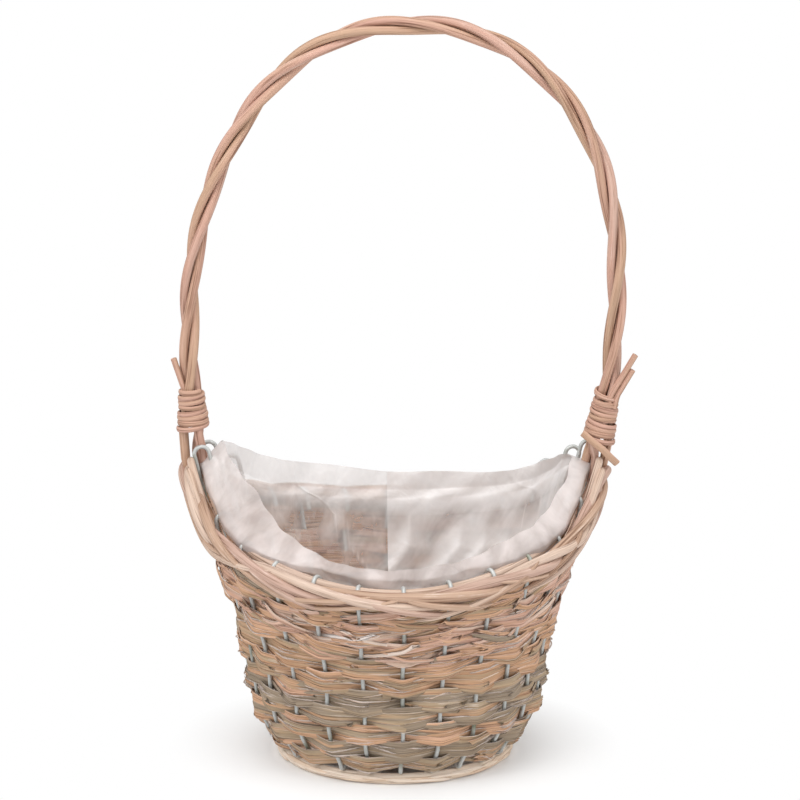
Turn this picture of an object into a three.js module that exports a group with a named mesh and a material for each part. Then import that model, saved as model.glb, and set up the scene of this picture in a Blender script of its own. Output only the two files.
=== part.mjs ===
// Wicker planter basket: a woven wall on wire stakes, a saddle-shaped rim, a twisted handle and a film liner.
// Millimetres, +Z up. The foot ring stands on z = 0, the basket's axis is Z and the front faces -Y.
import * as THREE from 'three';

// Clearance between pieces that touch
const FIT_GAP = 0.3;

// Wire stakes
const STAKE_PAIRS = 12;
const STAKE_TURN_DEG = 3;
const WIRE_DIAMETER = 2.2;
const STAKE_FOOT_LENGTH = 14;
const HOOK_RISE = 2;
const HOOK_TAIL = 8;

// Foot ring
const FOOT_RING_RADIUS = 58;
const FOOT_ROD_DIAMETER = 6;
const FOOT_FLAT_DEPTH = 0.5;

// Base of crossed slats
const SLATS_EACH_WAY = 5;
const SLAT_WIDTH = 18;
const SLAT_SPACING = 22;
const SLAT_THICKNESS = 1.5;

// Wall outline: radius of the stakes at five heights, the lowest a step out from the foot ring's middle
const FOOT_WALL_STEP = 4.5;
const BELLY_RADIUS = 73.5;
const BELLY_HEIGHT = 28;
const MIDDLE_RADIUS = 79.5;
const MIDDLE_HEIGHT = 66;
const SHOULDER_RADIUS = 88;
const SHOULDER_HEIGHT = 96;
const LIP_RADIUS = 102;
const LIP_HEIGHT = 152;

// Woven rows
const ROW_COUNT = 10;
const LEVEL_ROWS = 5;
const STRIP_THICKNESS = 2;
const ROW_GAP = 0.6;

// Rim: the heights are those of the inner rod's centre
const RIM_FRONT_HEIGHT = 111;
const RIM_SIDE_RISE = 18;
const RIM_PEAK_RISE = 23;
const RIM_PEAK_SHARPNESS_FRONT = 12;
const RIM_PEAK_SHARPNESS_BACK = 5;
const RIM_ROD_DIAMETER = 7.6;
const RIM_INNER_ROD_DIAMETER = 5;

// Handle
const HANDLE_ROD_DIAMETER = 4.8;
const HANDLE_BULGE = 8.5;
const HANDLE_SPRING_HEIGHT = 240;
const HANDLE_ARCH_RISE = 150;
const HANDLE_ARCH_POWER = 2.17;
const HANDLE_LEAN = 3.5;
const HANDLE_SWAY = 5.4;
const HANDLE_SWAY_BELOW_SPRING = 25;
const HANDLE_SWAY_ABOVE_SPRING = 107;
const HANDLE_TURNS = 5;
const WEDGE_DEPTH = 5;

// Bindings and their loose tails
const BINDING_WIDTH = 2.8;
const BINDING_THICKNESS = 1.3;
const BINDING_PITCH = 3.3;
const BINDING_SPREAD = 1.4;
const LEFT_BINDING_START = 15;
const LEFT_BINDING_TURNS = 6;
const RIGHT_BINDING_START = 9;
const RIGHT_BINDING_TURNS = 7.2;
const TAIL_DIAMETER = 2.8;
const LEFT_TAIL_LENGTH = 17;
const LEFT_TAIL_LEAN_DEG = 24;
const RIGHT_TAIL_LENGTH = 17;
const RIGHT_STUB_LENGTH = 11;
const RIGHT_TAIL_LEAN_DEG = 25;

// Film liner: its free edge stands above the rim's centre by a height that changes round the basket. Each pair
// is an angle from the front towards the right, in degrees, and a height.
const LINER_THICKNESS = 0.6;
const LINER_WIDE_FOLDS = 6;
const LINER_WIDE_SHARE = 0.3;
const LINER_WIDE_TURN_DEG = 57;
const LINER_NARROW_FOLDS = 10;
const LINER_NARROW_SHARE = 0.2;
const LINER_FOLD_DEPTH = 4;
const LINER_LEAN = 3;
const LINER_SLACK = 1;
const LINER_HEM = [
  [-180, 15],
  [-125, 21],
  [-90, 13],
  [-66, 25],
  [-42, 10],
  [0, 9],
  [74, 13],
  [90, 6],
  [117, 13],
  [180, 15],
];

// Facets
const WIRE_SIDES = 5;
const ROD_SIDES = 6;
const HOOK_STEPS = 4;
const RIM_STEPS_PER_STAKE = 3;
const TWIST_STEPS = 54;
const SPLAY_STEPS = 5;
const BINDING_STEPS_PER_TURN = 16;
const LINER_STEPS = 60;
const FOOT_RING_STEPS = 48;

// Finishes
const PEELED_WILLOW = { color: 0xc9a184, roughness: 0.7, metalness: 0 };
const PALE_WILLOW = { color: 0xd9c0a2, roughness: 0.75, metalness: 0 };
const SPLIT_WILLOW = { color: 0xb89870, roughness: 0.8, metalness: 0 };
const GALVANISED_WIRE = { color: 0xa3a39c, roughness: 0.45, metalness: 0.9 };
const CLEAR_FILM = { color: 0xe8e4e4, roughness: 0.3, metalness: 0, transparent: true, opacity: 0.6 };

// Sizes that follow from the ones above
const TURN = 2 * Math.PI;
const STAKE_COUNT = 2 * STAKE_PAIRS;
const STAKE_TURN = THREE.MathUtils.degToRad(STAKE_TURN_DEG);
const WIRE_RADIUS = WIRE_DIAMETER / 2;
const HANDLE_ROD_RADIUS = HANDLE_ROD_DIAMETER / 2;
const HANDLE_HALF_WIDTH = LIP_RADIUS + HANDLE_BULGE;
const RIM_ROD_RADIUS = RIM_ROD_DIAMETER / 2;
const RIM_INNER_ROD_RADIUS = RIM_INNER_ROD_DIAMETER / 2;
const FOOT_RING_TOP = FOOT_ROD_DIAMETER - FOOT_FLAT_DEPTH;
const FOOT_WALL_RADIUS = FOOT_RING_RADIUS + FOOT_WALL_STEP;
const STAKE_FOOT_HEIGHT = FOOT_RING_TOP + FIT_GAP + WIRE_RADIUS;
const SLAT_LAYER = STAKE_FOOT_HEIGHT + WIRE_RADIUS + FIT_GAP;
const BASE_TOP = SLAT_LAYER + 2 * SLAT_THICKNESS + FIT_GAP;
const WALL_BOTTOM = STAKE_FOOT_HEIGHT + WIRE_DIAMETER;
const WEAVE_SWING = WIRE_RADIUS + FIT_GAP + STRIP_THICKNESS / 2;
const WEAVE_REACH = WEAVE_SWING + STRIP_THICKNESS / 2;
const RIM_ROD_OUT = WIRE_RADIUS + FIT_GAP + RIM_ROD_RADIUS;
const RIM_INNER_ROD_OUT = WIRE_RADIUS + FIT_GAP + RIM_INNER_ROD_RADIUS;
const RIM_ROD_STEP = (RIM_ROD_DIAMETER + FIT_GAP) / 2;
const HOOK_RADIUS = (RIM_INNER_ROD_OUT + RIM_INNER_ROD_RADIUS + FIT_GAP + WIRE_RADIUS) / 2;
const LINER_RIM_OUT = 2 * HOOK_RADIUS + WIRE_RADIUS + FIT_GAP;
const HANDLE_SEAT = RIM_ROD_STEP + RIM_ROD_RADIUS + FIT_GAP;
const BUNDLE_RADIUS = (HANDLE_ROD_DIAMETER + 1.2 * FIT_GAP) / Math.sqrt(3);

// A closed solid through rings of points. An open run of rings gets flat ends, a closed run joins its last
// ring to its first. The faces are turned to point outwards.
function loft(rings, closed = false) {
  const sides = rings[0].length;
  const vertices = rings.flat();
  const faces = [];
  const spans = closed ? rings.length : rings.length - 1;
  for (let span = 0; span < spans; span += 1) {
    const near = span * sides;
    const far = ((span + 1) % rings.length) * sides;
    for (let side = 0; side < sides; side += 1) {
      const next = (side + 1) % sides;
      faces.push([near + side, near + next, far + next]);
      faces.push([near + side, far + next, far + side]);
    }
  }
  if (!closed) {
    const last = (rings.length - 1) * sides;
    const startCentre = vertices.push(centreOf(rings[0])) - 1;
    const endCentre = vertices.push(centreOf(rings[rings.length - 1])) - 1;
    for (let side = 0; side < sides; side += 1) {
      const next = (side + 1) % sides;
      faces.push([startCentre, next, side]);
      faces.push([endCentre, last + side, last + next]);
    }
  }
  const inward = signedVolume(vertices, faces) < 0;
  const outwardFaces = inward ? faces.map(([a, b, c]) => [a, c, b]) : faces;
  const geometry = new THREE.BufferGeometry();
  const coordinates = vertices.flatMap((vertex) => vertex.toArray());
  geometry.setAttribute('position', new THREE.Float32BufferAttribute(coordinates, 3));
  geometry.setIndex(outwardFaces.flat());
  geometry.computeVertexNormals();
  return geometry;
}

function centreOf(ring) {
  const sum = new THREE.Vector3();
  ring.forEach((point) => sum.add(point));
  return sum.divideScalar(ring.length);
}

function signedVolume(vertices, faces) {
  const cross = new THREE.Vector3();
  let volume = 0;
  faces.forEach(([a, b, c]) => {
    cross.crossVectors(vertices[b], vertices[c]);
    volume += vertices[a].dot(cross) / 6;
  });
  return volume;
}

// Rings of a round tube along a path. The hint is a direction that is never along the path.
function tubeRings(path, radiusAt, hintAt, sides, closed = false) {
  const count = path.length;
  return path.map((point, index) => {
    const before = closed ? path[(index + count - 1) % count] : path[Math.max(index - 1, 0)];
    const after = closed ? path[(index + 1) % count] : path[Math.min(index + 1, count - 1)];
    const along = after.clone().sub(before).normalize();
    const hint = hintAt(index);
    const first = hint.clone().addScaledVector(along, -hint.dot(along)).normalize();
    const second = new THREE.Vector3().crossVectors(along, first);
    return Array.from({ length: sides }, (_, side) => {
      const turn = ((side + 0.5) / sides) * TURN;
      return point
        .clone()
        .addScaledVector(first, Math.cos(turn) * radiusAt(index))
        .addScaledVector(second, Math.sin(turn) * radiusAt(index));
    });
  });
}

function namedMesh(name, geometry, finish) {
  const mesh = new THREE.Mesh(geometry, new THREE.MeshStandardMaterial(finish));
  mesh.name = name;
  return mesh;
}

function twoDigits(number) {
  return String(number).padStart(2, '0');
}

// Angles turn round the basket from the front towards +X. A section point is (radius, height).
function outwards(angle) {
  return new THREE.Vector3(Math.sin(angle), -Math.cos(angle), 0);
}

function sideways(angle) {
  return new THREE.Vector3(Math.cos(angle), Math.sin(angle), 0);
}

function placed(angle, section) {
  return outwards(angle).multiplyScalar(section.x).setZ(section.y);
}

function stakeAngle(index) {
  return STAKE_TURN + (index * TURN) / STAKE_COUNT;
}

// Radius of the stakes at a height: a smooth curve through the five outline points.
const WALL_OUTLINE = [
  [WALL_BOTTOM, FOOT_WALL_RADIUS],
  [BELLY_HEIGHT, BELLY_RADIUS],
  [MIDDLE_HEIGHT, MIDDLE_RADIUS],
  [SHOULDER_HEIGHT, SHOULDER_RADIUS],
  [LIP_HEIGHT, LIP_RADIUS],
];

function outlineSlope(index) {
  const [lowHeight, lowRadius] = WALL_OUTLINE[Math.max(index - 1, 0)];
  const [highHeight, highRadius] = WALL_OUTLINE[Math.min(index + 1, WALL_OUTLINE.length - 1)];
  return (highRadius - lowRadius) / (highHeight - lowHeight);
}

function wallRadius(height) {
  const last = WALL_OUTLINE.length - 1;
  const span = Math.max(0, Math.min(last - 1, WALL_OUTLINE.findIndex(([top]) => top > height) - 1));
  const index = height >= WALL_OUTLINE[last][0] ? last - 1 : span;
  const [lowHeight, lowRadius] = WALL_OUTLINE[index];
  const [highHeight, highRadius] = WALL_OUTLINE[index + 1];
  const length = highHeight - lowHeight;
  const t = (height - lowHeight) / length;
  if (t > 1) {
    return highRadius + outlineSlope(index + 1) * (height - highHeight);
  }
  const startPull = outlineSlope(index) * length * (t ** 3 - 2 * t ** 2 + t);
  const endPull = outlineSlope(index + 1) * length * (t ** 3 - t ** 2);
  const highShare = 3 * t ** 2 - 2 * t ** 3;
  return THREE.MathUtils.lerp(lowRadius, highRadius, highShare) + startPull + endPull;
}

function wallSection(height) {
  return new THREE.Vector2(wallRadius(height), height);
}

// The rim is low at the front and back, climbs gently to the sides and peaks at each foot of the handle. The
// peaks fall away more slowly towards the back.
function rimHeight(angle) {
  const side = Math.sin(angle) ** 2;
  const sharpness = Math.cos(angle) > 0 ? RIM_PEAK_SHARPNESS_FRONT : RIM_PEAK_SHARPNESS_BACK;
  return RIM_FRONT_HEIGHT + RIM_SIDE_RISE * side + RIM_PEAK_RISE * side ** sharpness;
}

// How much longer a rod's upright section is where the rim is steep.
function rimStretch(angle) {
  const step = 0.01;
  const run = 2 * step * wallRadius(rimHeight(angle));
  return Math.hypot(1, (rimHeight(angle + step) - rimHeight(angle - step)) / run);
}

function wallTop(angle) {
  return rimHeight(angle) - (RIM_ROD_STEP + RIM_ROD_RADIUS) * rimStretch(angle) - FIT_GAP;
}

// Height of the joint below a row. The lowest rows lie level and the upper rows fan out to follow the rim.
function rowEdge(angle, row) {
  const pitch = (wallTop(0) - WALL_BOTTOM) / ROW_COUNT;
  const levelTop = WALL_BOTTOM + LEVEL_ROWS * pitch;
  if (row <= LEVEL_ROWS) {
    return WALL_BOTTOM + row * pitch;
  }
  return levelTop + ((wallTop(angle) - levelTop) * (row - LEVEL_ROWS)) / (ROW_COUNT - LEVEL_ROWS);
}

// Directions along and square to a straight stretch of stake, in the section.
function sectionFrame(foot, head) {
  const along = head.clone().sub(foot).normalize();
  const out = new THREE.Vector2(along.y, -along.x);
  return { along, out };
}

function rimFrame(angle) {
  const centre = wallSection(rimHeight(angle));
  const { along, out } = sectionFrame(wallSection(wallTop(angle)), centre);
  return { centre, along, out };
}

function rimSection(angle, up, outBy) {
  const { centre, along, out } = rimFrame(angle);
  return centre.clone().addScaledVector(along, up).addScaledVector(out, outBy);
}

// A wire stake: a foot under the base, a straight stretch for each row and a hook over the rim's inner rod.
function stakeGeometry(angle) {
  const wallFoot = wallSection(WALL_BOTTOM);
  const sections = [
    new THREE.Vector2(wallFoot.x - STAKE_FOOT_LENGTH, STAKE_FOOT_HEIGHT),
    new THREE.Vector2(wallFoot.x - WIRE_DIAMETER, STAKE_FOOT_HEIGHT),
    new THREE.Vector2(wallFoot.x - WIRE_RADIUS / 2, STAKE_FOOT_HEIGHT + WIRE_RADIUS / 2),
  ];
  for (let row = 0; row <= ROW_COUNT; row += 1) {
    sections.push(wallSection(rowEdge(angle, row)));
  }
  for (let step = 0; step <= HOOK_STEPS; step += 1) {
    const bend = (step / HOOK_STEPS) * Math.PI;
    const up = HOOK_RISE + HOOK_RADIUS * Math.sin(bend);
    sections.push(rimSection(angle, up, HOOK_RADIUS * (Math.cos(bend) - 1)));
  }
  sections.push(rimSection(angle, -HOOK_TAIL, -2 * HOOK_RADIUS));
  const path = sections.map((section) => placed(angle, section));
  return loft(tubeRings(path, () => WIRE_RADIUS, () => sideways(angle), WIRE_SIDES));
}

// A woven row: a flat strip that passes outside one stake and inside the next, all the way round.
function rowGeometry(row) {
  const steps = 2 * STAKE_COUNT;
  const rings = Array.from({ length: steps }, (_, step) => {
    const angle = STAKE_TURN + (step * TURN) / steps;
    const low = wallSection(rowEdge(angle, row));
    const high = wallSection(rowEdge(angle, row + 1));
    const { along, out } = sectionFrame(low, high);
    const swing = -WEAVE_SWING * Math.cos(STAKE_PAIRS * (angle - STAKE_TURN) + row * Math.PI);
    const foot = low.clone().addScaledVector(along, ROW_GAP / 2);
    const head = high.clone().addScaledVector(along, -ROW_GAP / 2);
    const inner = swing - STRIP_THICKNESS / 2;
    const outer = swing + STRIP_THICKNESS / 2;
    return [
      placed(angle, foot.clone().addScaledVector(out, inner)),
      placed(angle, foot.clone().addScaledVector(out, outer)),
      placed(angle, head.clone().addScaledVector(out, outer)),
      placed(angle, head.clone().addScaledVector(out, inner)),
    ];
  });
  return loft(rings, true);
}

// A rod of the rim, all the way round, at a step up or down from the inner rod's level.
function rimRodGeometry(up, outBy, radius) {
  const steps = RIM_STEPS_PER_STAKE * STAKE_COUNT;
  const angles = Array.from({ length: steps }, (_, step) => STAKE_TURN + (step * TURN) / steps);
  const path = angles.map((angle) => placed(angle, rimSection(angle, up * rimStretch(angle), outBy)));
  return loft(tubeRings(path, () => radius, (index) => outwards(angles[index]), ROD_SIDES, true), true);
}

// The foot ring: a round rod with a flat underside.
function footRingGeometry() {
  const radius = FOOT_ROD_DIAMETER / 2;
  const flatTurn = Math.acos((radius - FOOT_FLAT_DEPTH) / radius);
  const corners = 7;
  const profile = Array.from({ length: corners + 1 }, (_, corner) => {
    const turn = flatTurn + (corner / corners) * (TURN - 2 * flatTurn) - Math.PI / 2;
    const height = radius - FOOT_FLAT_DEPTH + radius * Math.sin(turn);
    return new THREE.Vector2(FOOT_RING_RADIUS + radius * Math.cos(turn), height);
  });
  profile.push(profile[0].clone());
  const geometry = new THREE.LatheGeometry(profile, FOOT_RING_STEPS);
  geometry.rotateX(Math.PI / 2);
  return geometry;
}

// A slat of the base, woven over and under the slats that cross it and cut to the round of the wall.
function slatGeometry(place, startsHigh) {
  const reach = wallRadius(WALL_BOTTOM) - WEAVE_REACH - 2 * FIT_GAP;
  const farEdge = Math.abs(place) * SLAT_SPACING + SLAT_WIDTH / 2;
  const half = Math.sqrt(reach ** 2 - farEdge ** 2);
  const middle = (SLATS_EACH_WAY - 1) / 2;
  const underside = [];
  for (let crossing = 0; crossing < SLATS_EACH_WAY; crossing += 1) {
    const high = (crossing % 2 === 0) === startsHigh;
    const level = SLAT_LAYER + (high ? SLAT_THICKNESS + FIT_GAP : 0);
    const centre = (crossing - middle) * SLAT_SPACING;
    [centre - SLAT_WIDTH / 2, centre + SLAT_WIDTH / 2].forEach((x) => {
      underside.push(new THREE.Vector2(THREE.MathUtils.clamp(x, -half, half), level));
    });
  }
  const shown = underside.filter((point, index) => {
    const next = underside[index + 1];
    const previous = underside[index - 1];
    const repeatsNext = next !== undefined && next.x === point.x && point.x < 0;
    const repeatsPrevious = previous !== undefined && previous.x === point.x && point.x > 0;
    return !repeatsNext && !repeatsPrevious;
  });
  const topside = shown.map((point) => new THREE.Vector2(point.x, point.y + SLAT_THICKNESS)).reverse();
  const outline = new THREE.Shape([...shown, ...topside]);
  const geometry = new THREE.ExtrudeGeometry(outline, { depth: SLAT_WIDTH, bevelEnabled: false });
  geometry.translate(0, 0, -SLAT_WIDTH / 2 - place * SLAT_SPACING);
  geometry.rotateX(Math.PI / 2);
  return geometry;
}

// The handle's centre line: two legs that rise from the rim and a rounded arch that sways to one side.
function handleSway(height) {
  const from = HANDLE_SPRING_HEIGHT - HANDLE_SWAY_BELOW_SPRING;
  const to = HANDLE_SPRING_HEIGHT + HANDLE_SWAY_ABOVE_SPRING;
  return HANDLE_SWAY * THREE.MathUtils.smoothstep(height, from, to);
}

class HandleLine extends THREE.Curve {
  getPoint(t, target = new THREE.Vector3()) {
    const side = t < 0.5 ? -1 : 1;
    const rise = Math.min(1, 4 * Math.min(t, 1 - t));
    const foot = rimSection((side * Math.PI) / 2, HANDLE_SEAT, 0);
    if (rise < 1) {
      const swell = Math.sin((rise * Math.PI) / 2);
      const x = side * (foot.x + (HANDLE_HALF_WIDTH - foot.x) * swell) + HANDLE_LEAN * swell;
      const height = foot.y + (HANDLE_SPRING_HEIGHT - foot.y) * rise;
      return target.set(x + handleSway(height), 0, height);
    }
    const sweep = Math.PI * (1.5 - 2 * t);
    const power = 2 / HANDLE_ARCH_POWER;
    const across = Math.sign(Math.cos(sweep)) * Math.abs(Math.cos(sweep)) ** power;
    const height = HANDLE_SPRING_HEIGHT + HANDLE_ARCH_RISE * Math.max(0, Math.sin(sweep)) ** power;
    return target.set(HANDLE_LEAN + HANDLE_HALF_WIDTH * across + handleSway(height), 0, height);
  }
}

const handleLine = new HandleLine();
handleLine.arcLengthDivisions = 600;
const HANDLE_LENGTH = handleLine.getLength();
const TOWARDS_FRONT = new THREE.Vector3(0, -1, 0);

// Place on the handle at a distance from its left foot: the centre, the direction and the outward normal.
function handleStation(distance) {
  const share = THREE.MathUtils.clamp(distance / HANDLE_LENGTH, 0, 1);
  const centre = handleLine.getPointAt(share);
  const along = handleLine.getTangentAt(share);
  const out = new THREE.Vector3().crossVectors(along, TOWARDS_FRONT).negate();
  return { centre, along, out };
}

function besideHandle(distance, outBy, frontBy) {
  const { centre, out } = handleStation(distance);
  return centre.addScaledVector(out, outBy).addScaledVector(TOWARDS_FRONT, frontBy);
}

const BINDINGS = [
  { side: -1, name: 'left', start: LEFT_BINDING_START, turns: LEFT_BINDING_TURNS },
  { side: 1, name: 'right', start: RIGHT_BINDING_START, turns: RIGHT_BINDING_TURNS },
];

function fromFoot(side, distance) {
  return side < 0 ? distance : HANDLE_LENGTH - distance;
}

// The twisted rods lie close together above the bindings and spread a little inside them.
function bundleRadius(distance) {
  const spreads = BINDINGS.map(({ side, start, turns }) => {
    const top = start + (turns + 1) * BINDING_PITCH;
    const share = (top - fromFoot(side, distance)) / (top - start);
    return BINDING_SPREAD * THREE.MathUtils.clamp(share, 0, 1);
  });
  return BUNDLE_RADIUS + Math.max(...spreads);
}

// Where each rod's leg lands on the rim: on the outer rod, on the inner rod, or wedged between them.
const WEDGE_SHIFT = Math.sqrt(Math.max(0, (HANDLE_ROD_DIAMETER + FIT_GAP) ** 2 - RIM_INNER_ROD_OUT ** 2));
const LEFT_LANDINGS = ['outer', 'wedge', 'inner'];
const RIGHT_LANDINGS = ['outer', 'inner', 'wedge'];

function landingOffset(landing, side) {
  if (landing === 'outer') {
    return new THREE.Vector2(RIM_ROD_OUT, 0);
  }
  if (landing === 'inner') {
    return new THREE.Vector2(-RIM_INNER_ROD_OUT, 0);
  }
  return new THREE.Vector2(0, side * WEDGE_SHIFT);
}

// Points of a leg below the handle line's foot, from the lowest up, each with its radius.
function legTip(landing, side) {
  const angle = (side * Math.PI) / 2;
  const seat = (up, outBy, frontBy, radius) => ({
    point: placed(angle, rimSection(angle, up, outBy)).addScaledVector(TOWARDS_FRONT, frontBy),
    radius,
  });
  if (landing === 'outer') {
    return [seat(HANDLE_SEAT, RIM_ROD_OUT, 0, HANDLE_ROD_RADIUS)];
  }
  if (landing === 'inner') {
    return [seat(RIM_INNER_ROD_RADIUS + FIT_GAP, -RIM_INNER_ROD_OUT, 0, HANDLE_ROD_RADIUS)];
  }
  return [
    seat(-WEDGE_DEPTH, 0, side * WEDGE_SHIFT, WIRE_RADIUS),
    seat(RIM_ROD_STEP, 0, side * WEDGE_SHIFT, WIRE_RADIUS),
  ];
}

function legRadius(landing, share) {
  if (landing !== 'wedge') {
    return HANDLE_ROD_RADIUS;
  }
  const thin = (WIRE_RADIUS + HANDLE_ROD_RADIUS) / 2;
  return THREE.MathUtils.lerp(thin, HANDLE_ROD_RADIUS, Math.min(1, 2 * share));
}

function twistedOffset(rod, distance) {
  const [left, right] = BINDINGS;
  const share = (distance - left.start) / (HANDLE_LENGTH - left.start - right.start);
  const turn = TURN * (HANDLE_TURNS * share - rod / 3);
  const radius = bundleRadius(distance);
  return new THREE.Vector2(radius * Math.cos(turn), radius * Math.sin(turn));
}

// The splayed stretch of a leg, from its landing up to the binding.
function splayedLeg(rod, landing, { side, start }) {
  const bound = twistedOffset(rod, fromFoot(side, start));
  const steps = Array.from({ length: SPLAY_STEPS }, (_, step) => step / SPLAY_STEPS);
  return steps.map((share) => {
    const offset = landingOffset(landing, side).lerp(bound, THREE.MathUtils.smoothstep(share, 0, 1));
    return {
      point: besideHandle(fromFoot(side, share * start), offset.x, offset.y),
      radius: legRadius(landing, share),
    };
  });
}

function handleRodGeometry(rod) {
  const [left, right] = BINDINGS;
  const leftLanding = LEFT_LANDINGS[rod];
  const rightLanding = RIGHT_LANDINGS[rod];
  const leftLeg = [...legTip(leftLanding, left.side), ...splayedLeg(rod, leftLanding, left)];
  const rightLeg = [...legTip(rightLanding, right.side), ...splayedLeg(rod, rightLanding, right)];
  const twist = Array.from({ length: TWIST_STEPS + 1 }, (_, step) => {
    const distance = THREE.MathUtils.lerp(left.start, HANDLE_LENGTH - right.start, step / TWIST_STEPS);
    const offset = twistedOffset(rod, distance);
    return { point: besideHandle(distance, offset.x, offset.y), radius: HANDLE_ROD_RADIUS };
  });
  const run = [...leftLeg, ...twist, ...rightLeg.reverse()];
  const path = run.map(({ point }) => point);
  return loft(tubeRings(path, (index) => run[index].radius, () => TOWARDS_FRONT, ROD_SIDES));
}

// A binding: one flat split of willow wound round the bundle from its foot up, its ends run off straight.
function bindingRings({ side, start, turns }) {
  const steps = Math.round(turns * BINDING_STEPS_PER_TURN);
  const section = (centre, along, out) =>
    Array.from({ length: ROD_SIDES }, (_, corner) => {
      const turn = (corner / ROD_SIDES) * TURN;
      return centre
        .clone()
        .addScaledVector(along, (BINDING_WIDTH / 2) * Math.cos(turn))
        .addScaledVector(out, (BINDING_THICKNESS / 2) * Math.sin(turn));
    });
  const stations = Array.from({ length: steps + 1 }, (_, step) => {
    const wound = step / BINDING_STEPS_PER_TURN;
    const distance = fromFoot(side, start + BINDING_WIDTH / 2 + wound * BINDING_PITCH);
    const { centre, along, out } = handleStation(distance);
    const turn = TURN * wound;
    const facing = out.multiplyScalar(Math.cos(turn)).addScaledVector(TOWARDS_FRONT, Math.sin(turn));
    const reach = bundleRadius(distance) + HANDLE_ROD_RADIUS + FIT_GAP + BINDING_THICKNESS / 2;
    return { centre: centre.addScaledVector(facing, reach), along, facing };
  });
  const runOff = (end, inside) => {
    const direction = end.centre.clone().sub(inside.centre).normalize();
    const centre = end.centre.clone().addScaledVector(direction, BINDING_WIDTH);
    return { ...end, centre };
  };
  const first = runOff(stations[0], stations[1]);
  const last = runOff(stations[steps], stations[steps - 1]);
  return [first, ...stations, last].map(({ centre, along, facing }) => section(centre, along, facing));
}

// Least distance between points of a winding that lie at least half a turn apart along it.
function leastGap(rings) {
  let least = Infinity;
  rings.forEach((ring, index) => {
    rings.slice(index + Math.ceil(BINDING_STEPS_PER_TURN / 2)).forEach((other) => {
      ring.forEach((a) => other.forEach((b) => {
        least = Math.min(least, a.distanceTo(b));
      }));
    });
  });
  return least;
}

// A loose tail of rod that stands on the last turn of a binding and leans away from the handle.
function tailGeometry({ side, start, turns }, length, leanDeg, stepOut) {
  const radius = TAIL_DIAMETER / 2;
  const lean = THREE.MathUtils.degToRad(leanDeg);
  const bindingTop = start + turns * BINDING_PITCH + BINDING_WIDTH;
  const distance = fromFoot(side, bindingTop + FIT_GAP + radius * Math.sin(lean));
  const reach = bundleRadius(distance) + HANDLE_ROD_RADIUS + FIT_GAP + radius;
  const facing = TURN * turns;
  const foot = besideHandle(distance, reach * Math.cos(facing) + stepOut, reach * Math.sin(facing));
  const direction = new THREE.Vector3(side * Math.sin(lean), 0, Math.cos(lean));
  const path = [foot, foot.clone().addScaledVector(direction, length)];
  return loft(tubeRings(path, () => radius, () => TOWARDS_FRONT, ROD_SIDES));
}

// Height of the liner's free edge above the rim's centre, straight from one given angle to the next.
function linerHem(angle) {
  const degrees = THREE.MathUtils.euclideanModulo(THREE.MathUtils.radToDeg(angle) + 180, 360) - 180;
  const next = LINER_HEM.findIndex(([end]) => end > degrees);
  const [nearAngle, nearHeight] = LINER_HEM[next - 1];
  const [farAngle, farHeight] = LINER_HEM[next];
  return THREE.MathUtils.mapLinear(degrees, nearAngle, farAngle, nearHeight, farHeight);
}

// How far the liner's folds stand in from the wall, at a share of the wall's height.
function linerFold(angle, share) {
  const wideTurn = THREE.MathUtils.degToRad(LINER_WIDE_TURN_DEG);
  const wide = LINER_WIDE_SHARE * Math.cos(LINER_WIDE_FOLDS * angle + wideTurn);
  const narrow = LINER_NARROW_SHARE * Math.cos(LINER_NARROW_FOLDS * angle);
  return LINER_FOLD_DEPTH * (0.5 + wide + narrow) * Math.sin(Math.PI * share);
}

// The film liner: a thin bag that lies in the basket in soft folds. Its free edge stands up inside the wire
// hooks and leans in a little.
function linerGeometry() {
  const angles = Array.from({ length: LINER_STEPS }, (_, step) => (step / LINER_STEPS) * TURN);
  const floorRadius = wallRadius(WALL_BOTTOM) - WEAVE_REACH - 2 * FIT_GAP;
  const wallOut = WEAVE_REACH + LINER_SLACK;
  const wallRow = (row) => (angle, inset) => {
    const height = rowEdge(angle, row);
    const { out } = sectionFrame(wallSection(height - 1), wallSection(height + 1));
    const depth = wallOut + inset + linerFold(angle, row / (ROW_COUNT - 1));
    return wallSection(height).addScaledVector(out, -depth);
  };
  const floorEdge = (angle, inset) => new THREE.Vector2(floorRadius - inset, BASE_TOP + FIT_GAP + inset);
  const floorMiddle = (angle, inset) => new THREE.Vector2(floorRadius / 2, BASE_TOP + FIT_GAP + inset);
  const hookEnd = (angle, inset) => rimSection(angle, -HOOK_TAIL - WIRE_DIAMETER, -LINER_RIM_OUT - inset);
  const hem = (angle, inset) => rimSection(angle, linerHem(angle), -LINER_RIM_OUT - LINER_LEAN - inset);
  const outside = [floorMiddle, floorEdge];
  for (let row = 1; row < ROW_COUNT - 1; row += 2) {
    outside.push(wallRow(row));
  }
  outside.push(hookEnd, hem);
  const ringOf = (profilePoint, inset) => angles.map((angle) => placed(angle, profilePoint(angle, inset)));
  const outerRings = outside.map((profilePoint) => ringOf(profilePoint, 0));
  const innerRings = outside.map((profilePoint) => ringOf(profilePoint, LINER_THICKNESS)).reverse();
  return loft([...outerRings, ...innerRings]);
}

const planter = new THREE.Group();

const base = new THREE.Group();
base.add(namedMesh('foot_ring', footRingGeometry(), PALE_WILLOW));
for (let slat = 0; slat < SLATS_EACH_WAY; slat += 1) {
  const place = slat - (SLATS_EACH_WAY - 1) / 2;
  const number = slat + 1;
  const across = namedMesh(`base_slat_across_${number}`, slatGeometry(place, slat % 2 === 0), SPLIT_WILLOW);
  const deep = namedMesh(`base_slat_deep_${number}`, slatGeometry(place, slat % 2 === 1), SPLIT_WILLOW);
  deep.rotation.z = Math.PI / 2;
  base.add(across, deep);
}
planter.add(base);

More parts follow.
